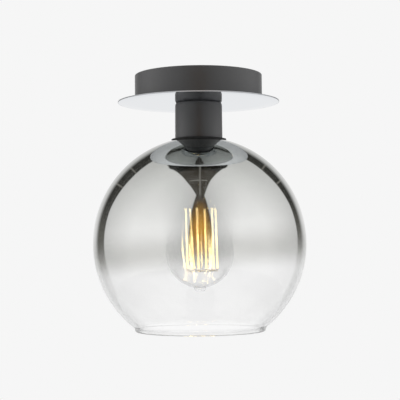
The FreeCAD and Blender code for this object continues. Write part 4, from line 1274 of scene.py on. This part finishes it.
@dataclass
class Hardware:
    """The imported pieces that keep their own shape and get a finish."""

    finishes: dict[Finish, tuple[str, ...]] = field(
        default_factory=lambda: {
            ZINC: (
                "ceiling_bracket",
                "canopy_screws",
                "canopy_nut",
                "cover_nut",
                "nipple",
                "nipple_washer",
                "block_screw",
                "terminal_screws",
                "holder_terminal_screws",
            ),
            BRASS: (
                "terminal_barrels",
                "holder_terminals",
                "screw_shell",
                "shell_rivets",
                "centre_contact",
                "contact_rivet",
            ),
            TINNED: ("earth_tag", "bulb_contact"),
            NICKEL: ("bulb_cap",),
            BLACK_PHENOLIC: ("holder_cap", "holder_skirt", "shade_ring"),
            WHITE_PLASTIC: ("terminal_block",),
            CERAMIC: ("holder_insert",),
            VITRITE: ("bulb_insulator",),
            BROWN_SLEEVE: ("live_wire",),
            BLUE_SLEEVE: ("neutral_wire",),
            GREEN_SLEEVE: ("earth_wire",),
            BOARD_LAMINATE: ("driver_board",),
            DARK_COMPONENT: ("driver_parts",),
        }
    )

    def dress(self) -> None:
        """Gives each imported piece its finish."""
        for finish, nodes in self.finishes.items():
            for node in nodes:
                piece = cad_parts[node]
                piece.data.materials.clear()
                piece.data.materials.append(material_of(finish))
                LOG.info("%s: finished as %s", node, finish.name)


# --- Studio ------------------------------------------------------------------------------------------------------


@dataclass(frozen=True)
class Camera:
    """The camera of the photograph, in front of the globe."""

    frame_pixels: float = 400.0
    focal_pixels: float = 1062.5
    horizon_pixel: float = 245.9
    roll: float = 0.5
    distance: float = 1.0
    aside: float = 0.0006
    eye_height: float = -0.161
    sensor: float = 36.0

    def place(self) -> None:
        """Stands the camera level with the globe and tilts it as the photograph's horizon says."""
        data = bpy.data.cameras.new("camera")
        data.sensor_width = self.sensor
        data.lens = self.sensor * self.focal_pixels / self.frame_pixels
        camera = bpy.data.objects.new("camera", data)
        bpy.context.scene.collection.objects.link(camera)
        tilt = atan((self.horizon_pixel - self.frame_pixels / 2) / self.focal_pixels)
        camera.location = (self.aside, -self.distance, self.eye_height)
        turn = Euler((pi / 2 + tilt, 0.0, 0.0)).to_matrix() @ Euler((0.0, 0.0, -radians(self.roll))).to_matrix()
        camera.rotation_euler = turn.to_euler()
        bpy.context.scene.camera = camera
        LOG.info("camera: lens %.1f mm, tilt %.2f degrees", data.lens, degrees(tilt))


@dataclass(frozen=True)
class Floor:
    """The round pale floor, well below the light."""

    height: float = -1.6
    radius: float = 3.0
    patch: float = 0.4
    dull: Colour = (0.74, 0.74, 0.74)
    pale: Colour = (0.78, 0.78, 0.78)
    roughness: float = 0.9

    def lay(self) -> None:
        """Lays the floor: one flat disc in two close greys, without gloss."""
        angles = np.linspace(0.0, TURN, Fineness.MEDIUM.value, endpoint=False)
        heights = np.full(len(angles), self.height)
        rim = np.stack([self.radius * np.cos(angles), self.radius * np.sin(angles), heights], axis=1)
        floor = make_piece("floor", rim, [list(range(len(rim)))])
        graph = Graph("pale_floor")
        tone = graph.spread(graph.noise(graph.place(), self.patch), NOISE_RANGE)
        graph.set(Base_Color=graph.blend(tone, self.dull, self.pale), Roughness=self.roughness)
        graph.set(Specular_IOR_Level=0.0)
        floor.data.materials.append(graph.material)


@dataclass(frozen=True)
class SideLights:
    """Two soft lights, one on each side, that only light surfaces and show in no reflection."""

    watts: float = 30.0
    reach: float = 1.5
    depth: float = 0.15
    size: Span = (1.4, 2.0)

    def hang(self) -> None:
        """Hangs both lights at the height of the ceiling, facing each other."""
        for name, side in (("light_left", -1.0), ("light_right", 1.0)):
            data = bpy.data.lights.new(name, "AREA")
            data.shape = "RECTANGLE"
            data.size, data.size_y = self.size
            data.energy = self.watts
            lamp = bpy.data.objects.new(name, data)
            bpy.context.scene.collection.objects.link(lamp)
            lamp.location = (side * self.reach, self.depth, 0.0)
            lamp.rotation_euler = (pi / 2, 0.0, side * pi / 2)
            lamp.visible_camera = False
            lamp.visible_glossy = False
            lamp.visible_transmission = False


@dataclass(frozen=True)
class Way:
    """The direction that a ray takes through the room, as outputs of the world's nodes.

    Across, depth and height are its X, Y and Z, each from -1 to 1, and mirrors counts the mirrors that it has met.
    """

    nodes: Nodes
    across: Socket
    depth: Socket
    height: Socket
    mirrors: Socket


@dataclass(frozen=True)
class Cards:
    """Two wide white cards, left and right of the light.

    The gap between them is narrowest at a waist above the camera. It widens from there, to the front and to the
    rear, up to a limit, and its middle runs a little askew. The cards dim towards the rear, more so low down, and
    towards the gap in front. Their far edges lie a little skewed.
    """

    waist: float = -0.63
    half_gap: float = 0.066
    front_growth: float = 0.425
    rear_growth: float = 0.40
    flare: float = 0.35
    limit: float = 0.355
    limit_blur: float = 0.05
    middle_depths: Span = (-0.62, -0.36)
    middle_asides: Span = (0.016, -0.012)
    edge_blur: float = 0.02
    far_heights: Span = (0.60, 0.30)
    far_depths: Span = (0.52, 0.575)
    far_skew: float = 0.05
    far_blur: float = 0.03
    brightness: float = 1.0
    fall_depth: float = -0.25
    fall_heights: Span = (0.2, 0.6)
    falls: Span = (0.40, 0.26)
    shade_asides: Span = (0.66, 0.10)
    shade_depths: Span = (0.0, -0.8)
    shade: float = 0.40

    def aside(self, way: Way) -> Socket:
        """How far a direction points to the side of the gap's middle.

        Args:
            way: the direction.

        Returns:
            The distance, 0 in the middle.
        """
        middle = way.nodes.spread(way.depth, self.middle_depths, self.middle_asides)
        return way.nodes.maths("ABSOLUTE", way.nodes.minus(way.across, middle))

    def half_width(self, way: Way) -> Socket:
        """Half the width of the gap at a direction's depth.

        Args:
            way: the direction.

        Returns:
            The half width.
        """
        nodes = way.nodes
        past_waist = nodes.minus(way.depth, self.waist)
        ahead = nodes.product(nodes.maths("MINIMUM", past_waist, 0.0), -self.front_growth)
        behind = nodes.maths("MULTIPLY_ADD", nodes.largest(past_waist, 0.0), self.rear_growth, self.half_gap)
        flared = nodes.maths("MULTIPLY_ADD", nodes.largest(way.depth, 0.0), self.flare, behind)
        return nodes.maths("SMOOTH_MIN", nodes.maths("ADD", ahead, flared), self.limit, self.limit_blur)

    def far_edge(self, way: Way) -> Socket:
        """Depth of the cards' far edges at a direction's height and side.

        Args:
            way: the direction.

        Returns:
            The depth.
        """
        level = way.nodes.spread(way.height, self.far_heights, self.far_depths)
        return way.nodes.maths("MULTIPLY_ADD", way.across, self.far_skew, level)

    def share(self, way: Way) -> Socket:
        """1 where a direction meets a card, and 0 elsewhere.

        Args:
            way: the direction.

        Returns:
            The share.
        """
        nodes = way.nodes
        beside_gap = nodes.step(self.aside(way), self.half_width(way), self.edge_blur)
        return nodes.product(beside_gap, nodes.step(nodes.minus(self.far_edge(way), way.depth), 0.0, self.far_blur))

    def colour(self, way: Way) -> Socket:
        """The grey of the cards in a direction.

        Args:
            way: the direction.

        Returns:
            The colour.
        """
        nodes = way.nodes
        rearward = nodes.largest(nodes.minus(way.depth, self.fall_depth), 0.0)
        fall = nodes.product(rearward, nodes.spread(way.height, self.fall_heights, self.falls))
        inward = nodes.spread(self.aside(way), self.shade_asides, (0.0, self.shade))
        shade = nodes.product(inward, nodes.spread(way.depth, self.shade_depths))
        return nodes.grey(nodes.minus(self.brightness, nodes.maths("ADD", fall, shade)))


@dataclass(frozen=True)
class Darkness:
    """The dark room that shows between the cards and behind them."""

    overhead: Colour = (0.014, 0.0135, 0.012)
    front: Colour = (0.060, 0.052, 0.042)
    front_depths: Span = (-0.09, -0.13)
    rear: Colour = (0.050, 0.049, 0.045)
    rear_depths: Span = (0.20, 0.45)
    low_rear: Colour = (0.115, 0.112, 0.100)
    low_depths: Span = (0.0, 0.3)
    low_heights: Span = (0.30, 0.08)

    def colour(self, way: Way) -> Socket:
        """The colour of the dark room in a direction, lightest low down at the rear.

        Args:
            way: the direction.

        Returns:
            The colour.
        """
        nodes = way.nodes
        low = nodes.product(nodes.spread(way.height, self.low_heights), nodes.spread(way.depth, self.low_depths))
        colour = nodes.blend(nodes.spread(way.depth, self.front_depths), self.overhead, self.front)
        colour = nodes.blend(nodes.spread(way.depth, self.rear_depths), colour, self.rear)
        return nodes.blend(low, colour, self.low_rear)


@dataclass(frozen=True)
class Glow:
    """The lamp's own warm light in the gap in front, which shows in a first mirror only."""

    tint: Colour = (0.64, 0.31, 0.05)
    top_fade: Span = (0.74, 0.30)
    foot_fade: Span = (-0.30, -0.15)
    rear_fade: Span = (-0.52, -0.75)
    side_fade: Span = (0.30, 0.95)
    side_shares: Span = (1.0, 0.10)
    mirror_fade: Span = (1.0, 2.0)

    def share(self, way: Way, cards: Cards) -> Socket:
        """How much of the warm light shows in a direction.

        Args:
            way: the direction.
            cards: the cards with the gap.

        Returns:
            The share.
        """
        nodes = way.nodes
        across_gap = nodes.maths("DIVIDE", cards.aside(way), cards.half_width(way))
        return nodes.product(
            nodes.spread(way.height, self.top_fade),
            nodes.spread(way.height, self.foot_fade),
            nodes.spread(way.depth, self.rear_fade),
            nodes.spread(across_gap, self.side_fade, self.side_shares),
            nodes.spread(way.mirrors, self.mirror_fade, (1.0, 0.0)),
        )


@dataclass(frozen=True)
class Stand:
    """A thin stand that rises overhead in the gap, with an arm across it."""

    tint: Colour = (0.26, 0.25, 0.23)
    aside: float = 0.012
    half_width: float = 0.020
    arm_depth: float = -0.356
    arm_reach: float = 0.135
    arm_blur: float = 0.01
    foot_height: float = 0.70
    foot_blur: float = 0.05

    def share(self, way: Way, cards: Cards) -> Socket:
        """1 where a direction meets the stand above the cards' waist, and 0 elsewhere.

        Args:
            way: the direction.
            cards: the cards with the gap.

        Returns:
            The share.
        """
        nodes = way.nodes
        pole = nodes.stripe(way.across, self.aside, self.half_width)
        within_reach = nodes.step(cards.aside(way), self.arm_reach, -self.arm_blur)
        arm = nodes.product(nodes.stripe(way.depth, self.arm_depth, self.half_width), within_reach)
        past_waist = nodes.step(way.depth, cards.waist, self.foot_blur)
        above_foot = nodes.step(way.height, self.foot_height, self.foot_blur)
        return nodes.product(nodes.largest(pole, arm), nodes.product(past_waist, above_foot))


@dataclass(frozen=True)
class Seams:
    """Thin light seams in the dark stretch behind the cards: a faint one across, and two that run to the rear."""

    depth: float = 0.59
    half_width: float = 0.008
    faintness: float = 0.5
    angles: Span = (0.852, 0.642)
    angle_half_width: float = 0.014
    start_blur: float = 0.01
    low_height: float = 0.25
    low_blur: float = 0.1

    def share(self, way: Way, cards: Cards) -> Socket:
        """1 where a direction meets a seam, and 0 elsewhere.

        Args:
            way: the direction.
            cards: the cards whose far edges the seams start from.

        Returns:
            The share.
        """
        nodes = way.nodes
        angle = nodes.maths("ARCTAN2", way.height, cards.aside(way))
        bars = [nodes.stripe(angle, middle, self.angle_half_width) for middle in self.angles]
        across = nodes.product(nodes.stripe(way.depth, self.depth, self.half_width), self.faintness)
        behind_cards = nodes.step(way.depth, cards.far_edge(way), self.start_blur)
        above = nodes.step(way.height, self.low_height, self.low_blur)
        return nodes.product(nodes.largest(across, *bars), behind_cards, above)


@dataclass(frozen=True)
class Backdrop:
    """The pale backdrop that closes the rear, duller at its sides."""

    depth: float = 0.79
    blur: float = 0.10
    side_brightness: float = 0.58
    middle_brightness: float = 0.9216
    rise_depths: Span = (0.80, 0.98)

    def share(self, way: Way) -> Socket:
        """1 where a direction meets the backdrop, and 0 elsewhere."""
        return way.nodes.step(way.depth, self.depth, self.blur)

    def colour(self, way: Way) -> Socket:
        """The grey of the backdrop in a direction.

        Args:
            way: the direction.

        Returns:
            The colour.
        """
        shades = (self.side_brightness, self.middle_brightness)
        return way.nodes.grey(way.nodes.spread(way.depth, self.rise_depths, shades))


@dataclass(frozen=True)
class Room:
    """The room that lights the scene from all round."""

    pale: Colour = (0.9216, 0.9216, 0.9216)
    low_fill: float = 0.28
    high_fill: float = 1.05
    fill_heights: Span = (0.25, 0.75)
    cards: Cards = Cards()
    darkness: Darkness = Darkness()
    glow: Glow = Glow()
    stand: Stand = Stand()
    seams: Seams = Seams()
    backdrop: Backdrop = Backdrop()

    def reflected(self, way: Way) -> Socket:
        """What a mirror sees of the room in a direction: from behind, each thing over the ones named before it.

        Args:
            way: the direction.

        Returns:
            The colour.
        """
        nodes = way.nodes
        colour = nodes.blend(self.glow.share(way, self.cards), self.darkness.colour(way), self.glow.tint)
        thin_lines = nodes.largest(self.stand.share(way, self.cards), self.seams.share(way, self.cards))
        colour = nodes.blend(thin_lines, colour, self.stand.tint)
        colour = nodes.blend(self.backdrop.share(way), colour, self.backdrop.colour(way))
        return nodes.blend(self.cards.share(way), colour, self.cards.colour(way))

    def light(self) -> None:
        """Lights the scene from the world: pale to the eye and through glass, plain on surfaces, cards in mirrors."""
        world = bpy.data.worlds.new("studio")
        bpy.context.scene.world = world
        world.use_nodes = True
        world.cycles.sampling_method = "NONE"
        nodes = Nodes(world.node_tree)
        path = nodes.add("LightPath").outputs
        direction = nodes.split(nodes.coordinate("Generated"))
        way = Way(nodes, direction["X"], direction["Y"], direction["Z"], path["Glossy Depth"])
        seen = nodes.largest(path["Is Camera Ray"], path["Is Transmission Ray"])
        mirrored = nodes.product(path["Is Glossy Ray"], nodes.minus(1.0, seen))
        plain = nodes.grey(nodes.spread(way.height, self.fill_heights, (self.low_fill, self.high_fill)))
        colour = nodes.blend(seen, nodes.blend(mirrored, plain, self.reflected(way)), self.pale)
        shader = nodes.add("Background")
        nodes.fill(shader.inputs["Color"], colour)
        nodes.join(shader.outputs["Background"], nodes.add("OutputWorld").inputs["Surface"])


@dataclass(frozen=True)
class Studio:
    """The camera, the pale floor and the soft light."""

    camera: Camera = Camera()
    floor: Floor = Floor()
    side_lights: SideLights = SideLights()
    room: Room = Room()

    def set_up(self) -> None:
        """Sets the view transform and builds camera, floor and light."""
        bpy.context.scene.view_settings.view_transform = "Standard"
        self.camera.place()
        self.floor.lay()
        self.side_lights.hang()
        self.room.light()


def main() -> None:
    """Builds the light and its studio."""
    logging.basicConfig(level=logging.INFO, format="%(name)s: %(message)s")
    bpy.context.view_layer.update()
    Studio().set_up()
    for part in (CeilingPlate(), HolderCup(), Globe(), Lamp(), Hardware()):
        part.dress()


if __name__ == "__main__":
    main()
